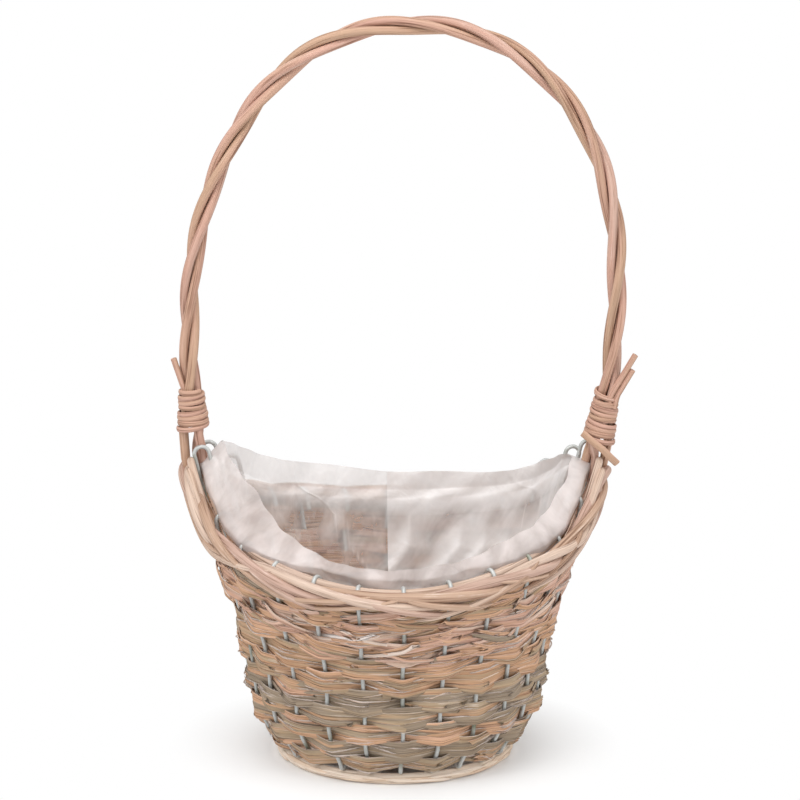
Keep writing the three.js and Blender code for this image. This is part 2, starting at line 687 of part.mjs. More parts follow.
const wall = new THREE.Group();
for (let stake = 0; stake < STAKE_COUNT; stake += 1) {
  const geometry = stakeGeometry(stakeAngle(stake));
  wall.add(namedMesh(`wire_stake_${twoDigits(stake + 1)}`, geometry, GALVANISED_WIRE));
}
for (let row = 0; row < ROW_COUNT; row += 1) {
  wall.add(namedMesh(`weave_row_${twoDigits(row + 1)}`, rowGeometry(row), SPLIT_WILLOW));
}
planter.add(wall);

const rim = new THREE.Group();
const innerRod = rimRodGeometry(0, -RIM_INNER_ROD_OUT, RIM_INNER_ROD_RADIUS);
const upperRod = rimRodGeometry(RIM_ROD_STEP, RIM_ROD_OUT, RIM_ROD_RADIUS);
const lowerRod = rimRodGeometry(-RIM_ROD_STEP, RIM_ROD_OUT, RIM_ROD_RADIUS);
rim.add(namedMesh('rim_inner_rod', innerRod, PALE_WILLOW));
rim.add(namedMesh('rim_outer_rod_upper', upperRod, PALE_WILLOW));
rim.add(namedMesh('rim_outer_rod_lower', lowerRod, PALE_WILLOW));
planter.add(rim);

const handle = new THREE.Group();
for (let rod = 0; rod < LEFT_LANDINGS.length; rod += 1) {
  handle.add(namedMesh(`handle_rod_${rod + 1}`, handleRodGeometry(rod), PEELED_WILLOW));
}
BINDINGS.forEach((binding) => {
  const rings = bindingRings(binding);
  console.log(`handle_binding_${binding.name}: least gap to itself ${leastGap(rings).toFixed(2)} mm`);
  handle.add(namedMesh(`handle_binding_${binding.name}`, loft(rings), PEELED_WILLOW));
});
const [leftBinding, rightBinding] = BINDINGS;
const besideLongTail = TAIL_DIAMETER + FIT_GAP;
const tails = {
  handle_tail_left: tailGeometry(leftBinding, LEFT_TAIL_LENGTH, LEFT_TAIL_LEAN_DEG, 0),
  handle_tail_right_long: tailGeometry(rightBinding, RIGHT_TAIL_LENGTH, RIGHT_TAIL_LEAN_DEG, 0),
  handle_tail_right_short: tailGeometry(
    rightBinding,
    RIGHT_STUB_LENGTH,
    RIGHT_TAIL_LEAN_DEG,
    besideLongTail,
  ),
};
Object.entries(tails).forEach(([name, geometry]) => handle.add(namedMesh(name, geometry, PEELED_WILLOW)));
planter.add(handle);

planter.add(namedMesh('plastic_liner', linerGeometry(), CLEAR_FILM));

export default planter;
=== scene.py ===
# Wicker planter basket: the looks of every piece, in metres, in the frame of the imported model.
# The front faces -Y. Angles turn round the basket from the front towards +X.
import math

import bpy
import numpy as np
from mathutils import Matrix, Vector


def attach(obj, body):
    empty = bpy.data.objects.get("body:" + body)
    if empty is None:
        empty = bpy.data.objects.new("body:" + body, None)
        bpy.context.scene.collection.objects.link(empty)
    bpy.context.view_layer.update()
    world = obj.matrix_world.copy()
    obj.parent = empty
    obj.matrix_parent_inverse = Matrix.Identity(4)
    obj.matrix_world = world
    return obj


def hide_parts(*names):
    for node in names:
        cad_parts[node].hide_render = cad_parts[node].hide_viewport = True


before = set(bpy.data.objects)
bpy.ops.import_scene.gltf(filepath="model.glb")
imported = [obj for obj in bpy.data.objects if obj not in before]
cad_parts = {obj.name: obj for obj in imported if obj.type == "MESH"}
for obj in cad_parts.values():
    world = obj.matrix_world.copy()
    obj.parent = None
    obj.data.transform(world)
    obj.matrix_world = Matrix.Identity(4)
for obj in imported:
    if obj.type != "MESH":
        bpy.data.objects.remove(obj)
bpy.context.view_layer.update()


# Foot ring: a peeled willow rod bent into a hoop under the wall, with thin splits lapped along its outside.
# It is pale, chalky wood with a lengthwise grain, and the basket stands on the flat worn along its underside.
# Its willow is painted paler than the chalky wood itself: painted light, for the little light that reaches it
# near the floor.
MM = 0.001
TURN = 2 * math.pi
FOOT_RING_RADIUS = 58 * MM
FOOT_ROD_RADIUS = 3 * MM
FOOT_ROD_HEIGHT = 2.5 * MM
FOOT_ROD_TONE = 0.6
FOOT_RING_STEPS = 120
FOOT_LAPS = 34
LAP_POINTS = 40
LAP_HALF_LENGTH = math.radians(17)
LAP_STAGGER = 0.2
LAP_HEIGHTS = (2.0 * MM, 4.2 * MM)
LAP_CLIMB = 1.2 * MM
LAP_RADII = (0.7 * MM, 1.2 * MM)
LAP_END_LIFT = 0.8 * MM
ROD_SIDES = 12
FINE_ROD_SIDES = 16
SMOOTH_ANGLE = math.radians(50)
MERGE_DISTANCE = 1e-6
GRAIN_SHIFT = 53.0
COARSE_FIBRES_PER_METRE = 22.0
FINE_FIBRES_PER_METRE = 34.0
FINE_FIBRE_SCALE = 3.3
CHALK_PATCHES_PER_METRE = 60.0
CHALK_PATCH_SCALE = 0.3
DRIFTS_PER_METRE = 14.0
DRIFT_SCALE = 0.4
TONE_WANDER = 0.9
DARK_FIBRE_SHARE = 0.35
PALE_FIBRE_SHARE = 0.12
SPLIT_AND_SHADE_STRENGTH = 0.9
CHALK_STRENGTH = 0.8
GRAIN_BUMP_STRENGTH = 0.7
WILLOW_SHINE = 0.3
chance = np.random.default_rng(11)


def outwards(angle):
    return np.stack([np.sin(angle), -np.cos(angle), np.zeros_like(angle)], axis=-1)


def travelled(path):
    """Distance along a path at each of its points."""
    steps = np.linalg.norm(np.diff(path, axis=0), axis=1)
    return np.concatenate([[0], np.cumsum(steps)])


def across_path(path, hint):
    """Two directions square to a path at each point, the first as near to the hint as it can be."""
    along = np.gradient(path, axis=0)
    along /= np.linalg.norm(along, axis=1, keepdims=True)
    first = hint - (hint * along).sum(axis=1, keepdims=True) * along
    first /= np.linalg.norm(first, axis=1, keepdims=True)
    return first, np.cross(along, first)


def rod(path, radius, hint, tone=0.5, sides=ROD_SIDES):
    """A round rod along a path. Its tone picks its colour from the material."""
    first, second = across_path(path, hint)
    turn = np.arange(sides) / sides * TURN
    spoke = np.cos(turn)[:, None] * first[:, None] + np.sin(turn)[:, None] * second[:, None]
    reach = np.broadcast_to(radius, len(path))[:, None, None]
    return {"rings": path[:, None] + reach * spoke, "along": travelled(path), "tone": tone}


def hoop(path, radius, angle, tone, sides=FINE_ROD_SIDES):
    """A rod that goes once round the basket and meets its own start."""
    closed = rod(path, radius, outwards(angle), tone, sides)
    closed["rings"][-1] = closed["rings"][0]
    return closed


def roll_up(name, strips):
    """One flat grid, cut into strips that are each rolled up round their own rings and closed at the ends."""
    sides = strips[0]["rings"].shape[1]
    rings = np.concatenate([strip["rings"] for strip in strips])
    along = np.concatenate([strip["along"] for strip in strips])
    counts = [len(strip["rings"]) for strip in strips]
    tone = np.repeat([strip["tone"] for strip in strips], counts)
    bpy.ops.object.select_all(action="DESELECT")
    bpy.ops.mesh.primitive_grid_add(x_subdivisions=sides, y_subdivisions=len(rings) - 1, size=1)
    piece = bpy.context.object
    piece.name = name
    mesh = piece.data
    mesh.name = name
    wrapped = np.concatenate([rings, rings[:, :1]], axis=1)
    mesh.vertices.foreach_set("co", wrapped.reshape(-1))
    corner = np.empty(len(mesh.loops), dtype=np.int32)
    mesh.loops.foreach_get("vertex_index", corner)
    row, column = np.divmod(corner, sides + 1)
    place = np.stack([(column + 0.5) / sides, along[row]], axis=1)
    mesh.uv_layers.active.data.foreach_set("uv", place.reshape(-1))
    tones = mesh.attributes.new("tone", "FLOAT", "POINT")
    tones.data.foreach_set("value", np.repeat(tone, sides + 1))
    between = np.zeros(len(rings) - 1, dtype=bool)
    between[np.cumsum(counts)[:-1] - 1] = True
    bpy.context.tool_settings.mesh_select_mode = (False, False, True)
    mesh.polygons.foreach_set("select", np.repeat(between, sides))
    bpy.ops.object.mode_set(mode="EDIT")
    bpy.ops.mesh.delete(type="FACE")
    bpy.ops.mesh.select_all(action="SELECT")
    bpy.ops.mesh.remove_doubles(threshold=MERGE_DISTANCE)
    bpy.ops.mesh.fill_holes(sides=0)
    bpy.ops.mesh.normals_make_consistent(inside=False)
    bpy.ops.object.mode_set(mode="OBJECT")
    bpy.ops.object.shade_smooth_by_angle(angle=SMOOTH_ANGLE)
    return piece


def finish_piece(piece, material, node):
    """Gives a piece its material and puts it in the place of its solid."""
    piece.data.materials.clear()
    piece.data.materials.append(material)
    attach(piece, "root")
    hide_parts(node)


def colour(red, green, blue):
    """A colour as it looks on a screen, 0 to 255, as the shader takes it."""
    share = np.array([red, green, blue]) / 255
    linear = np.where(share <= 0.04045, share / 12.92, ((share + 0.055) / 1.055) ** 2.4)
    return (*linear.tolist(), 1.0)


def feed(tree, node, inputs):
    """Sets each input of a node to a plain value, or joins it to the socket that feeds it."""
    for socket, value in inputs.items():
        if isinstance(value, bpy.types.NodeSocket):
            tree.links.new(value, node.inputs[socket])
        else:
            node.inputs[socket].default_value = value


def add_node(tree, kind, inputs, **settings):
    node = tree.nodes.new(kind)
    for setting, value in settings.items():
        setattr(node, setting, value)
    feed(tree, node, inputs)
    return node


def maths(tree, operation, first, second=0.0):
    return add_node(tree, "ShaderNodeMath", {0: first, 1: second}, operation=operation).outputs[0]


def spread_out(tree, value, low, high):
    """A value spread out so that low becomes 0 and high becomes 1."""
    inputs = {"Value": value, "From Min": low, "From Max": high}
    return add_node(tree, "ShaderNodeMapRange", inputs).outputs["Result"]


def mixed(tree, share, first, second):
    """A colour between two others."""
    return add_node(tree, "ShaderNodeMix", {0: share, 6: first, 7: second}, data_type="RGBA").outputs[2]


def noise(tree, place, scale, detail, **more):
    inputs = {"Vector": place, "Scale": scale, "Detail": detail, **more}
    return add_node(tree, "ShaderNodeTexNoise", inputs).outputs[0]


def attribute(tree, name):
    return add_node(tree, "ShaderNodeAttribute", {}, attribute_name=name).outputs["Fac"]


def bumped(tree, height, strength, distance):
    inputs = {"Strength": strength, "Distance": distance, "Height": height}
    return add_node(tree, "ShaderNodeBump", inputs).outputs[0]


def new_material(name):
    """A material, its node tree and its shader."""
    material = bpy.data.materials.new(name)
    material.use_nodes = True
    return material, material.node_tree, material.node_tree.nodes["Principled BSDF"]


def willow_grain():
    """Lengthwise willow fibres: their height, dark splits between them with painted shade along each strip's
    edges, chalk on them and a slow drift.
    """
    group = bpy.data.node_groups.new("willow_grain", "ShaderNodeTree")
    group.interface.new_socket("Place", in_out="INPUT", socket_type="NodeSocketVector")
    for name in ("Tone", "Fibres", "Chalkiness", "Edges"):
        group.interface.new_socket(name, in_out="INPUT", socket_type="NodeSocketFloat")
    for name in ("Fibre", "Split", "Chalk", "Drift"):
        group.interface.new_socket(name, in_out="OUTPUT", socket_type="NodeSocketFloat")
    given = group.nodes.new("NodeGroupInput").outputs
    place = add_node(group, "ShaderNodeSeparateXYZ", {0: given["Place"]}).outputs
    turn = maths(group, "MULTIPLY", place["X"], TURN)
    round_x = maths(group, "COSINE", turn)
    round_y = maths(group, "SINE", turn)
    shift = maths(group, "MULTIPLY", given["Tone"], GRAIN_SHIFT)

    def streaks(round_scale, per_metre, detail):
        """Noise drawn out along the fibres, different for each tone."""
        along = maths(group, "MULTIPLY", place["Y"], per_metre)
        spot = add_node(group, "ShaderNodeCombineXYZ", {
            "X": maths(group, "MULTIPLY", round_x, round_scale),
            "Y": maths(group, "MULTIPLY", round_y, round_scale),
            "Z": maths(group, "ADD", along, shift),
        })
        return noise(group, spot.outputs[0], 1.0, detail, Roughness=0.6)

    def together(first, first_share, second, second_share):
        first_part = maths(group, "MULTIPLY", first, first_share)
        return maths(group, "ADD", first_part, maths(group, "MULTIPLY", second, second_share))

    coarse = streaks(given["Fibres"], COARSE_FIBRES_PER_METRE, 3.0)
    fine = streaks(maths(group, "MULTIPLY", given["Fibres"], FINE_FIBRE_SCALE), FINE_FIBRES_PER_METRE, 2.0)
    fibre = together(coarse, 0.5, fine, 0.5)
    patch_scale = maths(group, "MULTIPLY", given["Fibres"], CHALK_PATCH_SCALE)
    patch = streaks(patch_scale, CHALK_PATCHES_PER_METRE, 4.0)
    drift = streaks(DRIFT_SCALE, DRIFTS_PER_METRE, 2.0)
    chalk_from = maths(group, "SUBTRACT", 0.86, maths(group, "MULTIPLY", given["Chalkiness"], 0.4))
    chalk_to = maths(group, "ADD", chalk_from, 0.12)
    chalk = spread_out(group, together(fibre, 0.6, patch, 0.4), chalk_from, chalk_to)
    from_middle = maths(group, "ABSOLUTE", round_x)
    near_edge = spread_out(group, from_middle, 0.86, 0.98)
    edge = maths(group, "MULTIPLY", near_edge, spread_out(group, fibre, 0.38, 0.56))
    chalk = maths(group, "MAXIMUM", chalk, maths(group, "MULTIPLY", edge, given["Edges"]))
    # Painted shade: each strip is darkened along its edges, where its neighbours would shade it, and this
    # joins the dark splits.
    near_shaded_edge = spread_out(group, from_middle, 0.78, 0.95)
    edge_shade = maths(group, "MULTIPLY", near_shaded_edge, spread_out(group, fibre, 0.54, 0.44))
    edge_shade = maths(group, "MULTIPLY", edge_shade, given["Edges"])
    split = maths(group, "MAXIMUM", spread_out(group, fibre, 0.46, 0.36), edge_shade)
    result = group.nodes.new("NodeGroupOutput")
    feed(group, result, {"Fibre": fibre, "Split": split, "Chalk": chalk, "Drift": drift})
    return group


WILLOW_GRAIN = willow_grain()


def willow(name, tones, split_and_shade_colour, chalk_colour, fibres, chalkiness, edges, bump, roughness):
    """Bare willow: a colour for each tone, dark in its splits and in painted shade along its edges, and
    washed with chalk on its high fibres.
    """
    material, tree, shader = new_material(name)
    place = add_node(tree, "ShaderNodeUVMap", {}, uv_map="UVMap").outputs[0]
    tone = attribute(tree, "tone")
    inputs = {"Place": place, "Tone": tone, "Fibres": fibres, "Chalkiness": chalkiness, "Edges": edges}
    grain = add_node(tree, "ShaderNodeGroup", inputs, node_tree=WILLOW_GRAIN).outputs
    wander = maths(tree, "MULTIPLY", maths(tree, "SUBTRACT", grain["Drift"], 0.5), TONE_WANDER)
    ramp = add_node(tree, "ShaderNodeValToRGB", {0: maths(tree, "ADD", tone, wander)})
    shades = ramp.color_ramp.elements
    while len(shades) < len(tones):
        shades.new(0.5)
    for index, shade in enumerate(tones):
        shades[index].position = index / (len(tones) - 1)
        shades[index].color = shade
    dark_fibre = mixed(tree, DARK_FIBRE_SHARE, ramp.outputs[0], split_and_shade_colour)
    pale_fibre = mixed(tree, PALE_FIBRE_SHARE, ramp.outputs[0], chalk_colour)
    streaked = mixed(tree, spread_out(tree, grain["Fibre"], 0.36, 0.64), dark_fibre, pale_fibre)
    # Dark splits in the wood and painted shade along the strip's edges, both in the same dark colour.
    split = mixed(tree, maths(tree, "MULTIPLY", grain["Split"], SPLIT_AND_SHADE_STRENGTH), streaked, split_and_shade_colour)
    washed = mixed(tree, maths(tree, "MULTIPLY", grain["Chalk"], CHALK_STRENGTH), split, chalk_colour)
    feed(tree, shader, {
        "Base Color": washed,
        "Normal": bumped(tree, grain["Fibre"], GRAIN_BUMP_STRENGTH, bump),
        "Roughness": roughness,
        "Specular IOR Level": WILLOW_SHINE,
    })
    return material


# Painted light: chalky willow made paler than the wood, standing in for light the foot ring lacks near the
# floor.
PAINTED_LIGHT_CHALKY_WILLOW = willow(
    "chalky_willow_painted_light",
    [colour(236, 206, 178), colour(248, 226, 202), colour(253, 238, 222), colour(242, 216, 190)],
    split_and_shade_colour=colour(160, 128, 102), chalk_colour=colour(250, 244, 238),
    fibres=1.1, chalkiness=0.75, edges=0.0, bump=0.25 * MM, roughness=0.75,
)

foot_angle = np.linspace(math.pi, math.pi + TURN, FOOT_RING_STEPS + 1)
foot_path = FOOT_RING_RADIUS * outwards(foot_angle) + [0, 0, FOOT_ROD_HEIGHT]
foot_rod = hoop(foot_path, FOOT_ROD_RADIUS, foot_angle, FOOT_ROD_TONE)
foot_rod["rings"][..., 2] = foot_rod["rings"][..., 2].clip(0, None)
foot_strips = [foot_rod]
for lap in range(FOOT_LAPS):
    share = np.linspace(-1, 1, LAP_POINTS)
    middle = TURN * (lap + chance.uniform(-LAP_STAGGER, LAP_STAGGER)) / FOOT_LAPS
    lap_angle = middle + LAP_HALF_LENGTH * share
    lap_height = chance.uniform(*LAP_HEIGHTS) + chance.uniform(-LAP_CLIMB, LAP_CLIMB) * share
    on_rod = np.sqrt(FOOT_ROD_RADIUS ** 2 - (lap_height - FOOT_ROD_HEIGHT) ** 2)
    lap_reach = FOOT_RING_RADIUS + on_rod + LAP_END_LIFT * np.abs(share) ** 4
    lap_path = lap_reach[:, None] * outwards(lap_angle) + lap_height[:, None] * [0, 0, 1]
    lap_radius = chance.uniform(*LAP_RADII) * np.clip(2 * (1 - share ** 2), 0.1, 1)
    foot_strips.append(rod(lap_path, lap_radius, outwards(lap_angle), chance.uniform(0, 1), FINE_ROD_SIDES))
finish_piece(roll_up("foot_ring_rod", foot_strips), PAINTED_LIGHT_CHALKY_WILLOW, "foot_ring")


# Base: split willow slats woven over and under each other, each slat a few flat splits laid side by side.
# They lie on the turned-in feet of the wire stakes, and their ends are cut to the round of the wall.
SLATS_EACH_WAY = 5
SLAT_WIDTH = 18 * MM
SLAT_SPACING = 22 * MM
SLAT_THICKNESS = 1.5 * MM
SLAT_UNDERSIDE = 8.3 * MM
SLAT_LIFT = 1.8 * MM
SLAT_BEND = 1.6
SLAT_REACH = 58.5 * MM
SLAT_POINTS = 60
SPLITS_PER_SLAT = 4
SLAT_SPLIT_THICKNESS = 1.35 * MM
SLAT_SPLIT_WIDTHS = (0.95, 1.08)
SLAT_SPLIT_WOBBLE = 0.4 * MM
SLAT_SPLIT_WAVES = 90
STRIP_SIDES = 8
STRIP_ROUNDING = 0.8


def flat_strip(path, width, thickness, facing, tone):
    """A flat split along a path, its broad side turned the way that it faces."""
    out, across = across_path(path, facing)
    turn = np.arange(STRIP_SIDES) / STRIP_SIDES * TURN
    wide = np.sign(np.cos(turn)) * np.abs(np.cos(turn)) ** STRIP_ROUNDING
    deep = np.sin(turn)
    half_width = np.broadcast_to(width, len(path))[:, None, None] / 2
    half_thickness = np.broadcast_to(thickness, len(path))[:, None, None] / 2
    sidewards = half_width * wide[:, None] * across[:, None]
    rings = path[:, None] + sidewards + half_thickness * deep[:, None] * out[:, None]
    return {"rings": rings, "along": travelled(path), "tone": tone}


# Its edges setting pales the edges of each split with chalk and also paints shade along them.
SPLIT_WILLOW = willow(
    "split_willow",
    [colour(149, 132, 110), colour(176, 151, 118), colour(198, 151, 112), colour(218, 171, 134),
     colour(206, 160, 138), colour(224, 196, 174), colour(240, 230, 224)],
    split_and_shade_colour=colour(66, 46, 34), chalk_colour=colour(240, 228, 220),
    fibres=1.9, chalkiness=0.76, edges=0.7, bump=0.5 * MM, roughness=0.85,
)

for direction in ("across", "deep"):
    for slat in range(SLATS_EACH_WAY):
        offset = (slat - (SLATS_EACH_WAY - 1) / 2) * SLAT_SPACING
        half = math.sqrt(SLAT_REACH ** 2 - (abs(offset) + SLAT_WIDTH / 2) ** 2)
        run = np.linspace(-half, half, SLAT_POINTS)
        over = 1 if (slat % 2 == 0) == (direction == "across") else -1
        rise = 0.5 + 0.5 * over * np.clip(SLAT_BEND * np.cos(math.pi * run / SLAT_SPACING), -1, 1)
        height = SLAT_UNDERSIDE + SLAT_THICKNESS / 2 + SLAT_LIFT * rise
        splits = []
        for split in range(SPLITS_PER_SLAT):
            shift = offset + ((split + 0.5) / SPLITS_PER_SLAT - 0.5) * SLAT_WIDTH
            level = shift + SLAT_SPLIT_WOBBLE * np.sin(run * SLAT_SPLIT_WAVES + chance.uniform(0, TURN))
            ground = [run, level] if direction == "across" else [-level, run]
            path = np.stack([*ground, height], axis=1)
            width = SLAT_WIDTH / SPLITS_PER_SLAT * chance.uniform(*SLAT_SPLIT_WIDTHS)
            upwards = np.broadcast_to([0.0, 0.0, 1.0], path.shape)
            splits.append(flat_strip(path, width, SLAT_SPLIT_THICKNESS, upwards, chance.uniform(0, 1)))
        node = f"base_slat_{direction}_{slat + 1}"
        finish_piece(roll_up(f"{node}_splits", splits), SPLIT_WILLOW, node)


# Wire stakes: galvanised wire that turns in under the base, climbs the wall and hooks over the rim's inner
# rod. The hooks beside and behind the handle's feet stand up tall, and the others are pressed down.
STAKE_COUNT = 24
STAKE_TURN = math.radians(3)
STAKE_STEP = TURN / STAKE_COUNT
WIRE_RADIUS = 1.1 * MM
WIRE_SIDES = 10
STAKE_FOOT_LENGTH = 14 * MM
STAKE_FOOT_HEIGHT = 6.9 * MM
STAKE_BEND_RADIUS = 2.2 * MM
STAKE_BEND_POINTS = 6
STAKE_CLIMB_START = 1.5 * MM
STAKE_CLIMB_POINTS = 26
STAKE_WOBBLE = 0.35 * MM
STAKE_WAVES = 130
HOOK_RISES = (-2.2 * MM, -0.2 * MM)
TALL_HOOK_RISE = 11 * MM
TALL_HOOKS_FROM = math.radians(85)
TALL_HOOKS_TO = math.radians(126)
HOOK_RADIUS = 3.9 * MM
HOOK_POINTS = 13
HOOK_TAIL = 8 * MM
HOOK_TAIL_START = 2 * MM
HOOK_TAIL_POINTS = 3
WALL_HEIGHTS = np.array([9.1, 28, 66, 96, 152]) * MM
WALL_RADII = np.array([62.5, 73.5, 79.5, 88, 102]) * MM
ROW_COUNT = 10
LEVEL_ROWS = 5
RIM_FRONT_HEIGHT = 111 * MM
RIM_SIDE_RISE = 18 * MM
RIM_PEAK_RISE = 23 * MM
RIM_PEAK_SHARPNESS_FRONT = 12
RIM_PEAK_SHARPNESS_BACK = 5
RIM_ROD_RADIUS = 3.8 * MM
RIM_ROD_STEP = 3.95 * MM
FIT_GAP = 0.3 * MM


def sideways(angle):
    return np.stack([np.cos(angle), np.sin(angle), np.zeros_like(angle)], axis=-1)


def wall_radius(height):
    """Radius of the stakes at a height: a smooth curve through the wall's outline, straight on above it."""
    spans = np.diff(WALL_HEIGHTS)
    inner_slopes = (WALL_RADII[2:] - WALL_RADII[:-2]) / (WALL_HEIGHTS[2:] - WALL_HEIGHTS[:-2])
    end_slopes = np.diff(WALL_RADII)[[0, -1]] / spans[[0, -1]]
    slopes = np.concatenate([end_slopes[:1], inner_slopes, end_slopes[1:]])
    index = np.clip(np.searchsorted(WALL_HEIGHTS, height, side="right") - 1, 0, len(spans) - 1)
    t = np.clip((height - WALL_HEIGHTS[index]) / spans[index], None, 1)
    start_pull = slopes[index] * spans[index] * (t ** 3 - 2 * t ** 2 + t)
    end_pull = slopes[index + 1] * spans[index] * (t ** 3 - t ** 2)
    start_share = 2 * t ** 3 - 3 * t ** 2 + 1
    between = WALL_RADII[index] * start_share + WALL_RADII[index + 1] * (1 - start_share)
    return between + start_pull + end_pull + slopes[-1] * np.clip(height - WALL_HEIGHTS[-1], 0, None)


def rim_height(angle):
    side = np.sin(angle) ** 2
    sharpness = np.where(np.cos(angle) > 0, RIM_PEAK_SHARPNESS_FRONT, RIM_PEAK_SHARPNESS_BACK)
    return RIM_FRONT_HEIGHT + RIM_SIDE_RISE * side + RIM_PEAK_RISE * side ** sharpness


def rim_stretch(angle):
    """How much longer a rod's upright section is where the rim is steep."""
    step = 0.01
    climb = rim_height(angle + step) - rim_height(angle - step)
    return np.hypot(1, climb / (2 * step * wall_radius(rim_height(angle))))


def wall_top(angle):
    return rim_height(angle) - (RIM_ROD_STEP + RIM_ROD_RADIUS) * rim_stretch(angle) - FIT_GAP


def row_edge(angle, row):
    """Height of the joint below a row: level for the lowest rows, fanned out to follow the rim above them."""
    pitch = (wall_top(np.zeros(1))[0] - WALL_HEIGHTS[0]) / ROW_COUNT
    level = WALL_HEIGHTS[0] + np.minimum(row, LEVEL_ROWS) * pitch
    level_top = WALL_HEIGHTS[0] + LEVEL_ROWS * pitch
    fanned = (wall_top(angle) - level_top) * np.maximum(row - LEVEL_ROWS, 0) / (ROW_COUNT - LEVEL_ROWS)
    return level + fanned


def wall_section(height):
    return np.stack([wall_radius(height), height], axis=-1)


def section_frame(foot, head):
    """Directions along and square to a straight stretch of stake, in the section."""
    along = head - foot
    along = along / np.linalg.norm(along, axis=-1, keepdims=True)
    return along, np.stack([along[..., 1], -along[..., 0]], axis=-1)


def placed(angle, section):
    return outwards(angle) * section[..., :1] + [0, 0, 1] * section[..., 1:]


def rim_point(angle, up, out_by):
    """A point beside the rim's middle, up along the stake and out from it."""
    middle = wall_section(rim_height(angle))
    along, out = section_frame(wall_section(wall_top(angle)), middle)
    section = middle + along * np.expand_dims(up, -1) + out * np.expand_dims(out_by, -1)
    return placed(angle, section)


def object_place(tree):
    return add_node(tree, "ShaderNodeTexCoord", {}).outputs["Object"]


def galvanised_wire():
    """Dull zinc: pale grey metal with cloudy spangles and a few darker, greenish stains."""
    material, tree, shader = new_material("galvanised_wire")
    place = object_place(tree)
    cloud = noise(tree, place, 900.0, 3.0)
    stain = spread_out(tree, noise(tree, place, 70.0, 4.0), 0.52, 0.72)
    zinc = mixed(tree, cloud, colour(160, 162, 158), colour(216, 218, 217))
    feed(tree, shader, {
        "Base Color": mixed(tree, stain, zinc, colour(128, 132, 112)),
        "Roughness": spread_out(tree, cloud, -1.0, 1.4),
        "Normal": bumped(tree, cloud, 0.3, 0.05 * MM),
        "Metallic": 0.6,
    })
    return material


GALVANISED_WIRE = galvanised_wire()

for stake in range(STAKE_COUNT):
    angle = np.array(STAKE_TURN + stake * STAKE_STEP)
    tall = TALL_HOOKS_FROM < np.arccos(np.cos(angle)) < TALL_HOOKS_TO
    rise = TALL_HOOK_RISE if tall else chance.uniform(*HOOK_RISES)
    bend = np.linspace(0, math.pi / 2, STAKE_BEND_POINTS)
    bend_radius = WALL_RADII[0] - STAKE_BEND_RADIUS * (1 - np.sin(bend))
    bend_height = STAKE_FOOT_HEIGHT + STAKE_BEND_RADIUS * (1 - np.cos(bend))
    foot_end = [WALL_RADII[0] - STAKE_FOOT_LENGTH, STAKE_FOOT_HEIGHT]
    foot = np.vstack([foot_end, np.stack([bend_radius, bend_height], axis=1)])
    climb = np.linspace(WALL_HEIGHTS[0] + STAKE_CLIMB_START, wall_top(angle), STAKE_CLIMB_POINTS)
    arc = np.linspace(0, math.pi, HOOK_POINTS)
    tail_up = np.linspace(rise - HOOK_TAIL_START, -HOOK_TAIL, HOOK_TAIL_POINTS)
    hook_up = np.concatenate([rise + HOOK_RADIUS * np.sin(arc), tail_up])
    hook_out = np.concatenate([HOOK_RADIUS * (np.cos(arc) - 1), np.full(HOOK_TAIL_POINTS, -2 * HOOK_RADIUS)])
    path = np.vstack([
        placed(angle, foot), placed(angle, wall_section(climb)), rim_point(angle, hook_up, hook_out),
    ])
    wobble = STAKE_WOBBLE * np.sin(path[:, 2] * STAKE_WAVES + chance.uniform(0, TURN))
    path = path + wobble[:, None] * sideways(angle)
    hint = np.broadcast_to(sideways(angle), path.shape)
    node = f"wire_stake_{stake + 1:02d}"
    wire = roll_up(f"{node}_wire", [rod(path, WIRE_RADIUS, hint, sides=WIRE_SIDES)])
    finish_piece(wire, GALVANISED_WIRE, node)


# Woven rows: broad flat willow splits that pass outside one stake and inside the next, bent sharply at each.
# A split runs a hand's length, overlaps the next one and ends in torn fibres. Slivers lie over it and stand
# off it, and in the upper rows short splits slant across it from stake to stake.
WEAVE_OUTSIDE = 2.8 * MM
WEAVE_INSIDE = -1.7 * MM
WEAVE_BEND = 0.97
ROW_SWINGS = {0: 0.6, 1: 0.85}
ROW_TONES = [0.26, 0.14, 0.22, 0.03, 0.0, 0.3, 0.4, 0.5, 0.58, 0.5]
SPLIT_THICKNESS = 0.8 * MM
SPLIT_TILT = 1.0 * MM
SPLIT_PINCH = 0.12
SPLIT_LOW_EDGE = -0.14
FOOT_ROW_LOW_EDGE = 0.02
SPLIT_HIGH_EDGE = 1.08
TOP_ROW_HIGH_EDGE = 1.6
SPLIT_COLUMNS = 4
SPLIT_STEP = math.radians(1.0)
SPLIT_SLANT = 0.06
SPLIT_TONE_SPREAD = 0.08
PALEST_SPLIT = 0.9
FEWEST_STAKES = 5
MOST_STAKES = 9
TORN_LENGTH = math.radians(3.5)
TORN_SHARE = 0.6
TORN_THINNESS = 0.25
EDGE_THINNESS = 0.35
ROUGH_STEP = 0.012
ROUGH_LIMIT = 0.05
RIDGE_HEIGHT = 0.1 * MM
RIPPLE_HEIGHT = 0.08 * MM
RIPPLE_WAVES = (8, 20)
RIPPLE_SHIFT = 9
FEWEST_SLIVERS = 3
MOST_SLIVERS = 5
SLIVER_SHIFT = 0.07
SLIVER_LEADS = (0.1, 1.2)
SLIVER_TRAILS = (0.0, 0.8)
SLIVER_LIFT = 0.35 * MM
SLIVER_LAP = 0.04
SLIVER_TONE_SPREAD = 0.12
OVERLAYS_PER_ROW = 10
OVERLAY_LENGTHS = (0.9 * STAKE_STEP, 2.6 * STAKE_STEP)
OVERLAY_PLACES = (-0.1, 0.75)
OVERLAY_WIDTHS = (0.12, 0.35)
OVERLAY_TONE_SPREAD = 0.1
OVERLAY_LIFTS = (0.5 * MM, 0.9 * MM)
OVERLAY_TIP = 1.2 * MM
OVERLAY_SLANT = 0.12
CHEVRONS_PER_ROW = 44
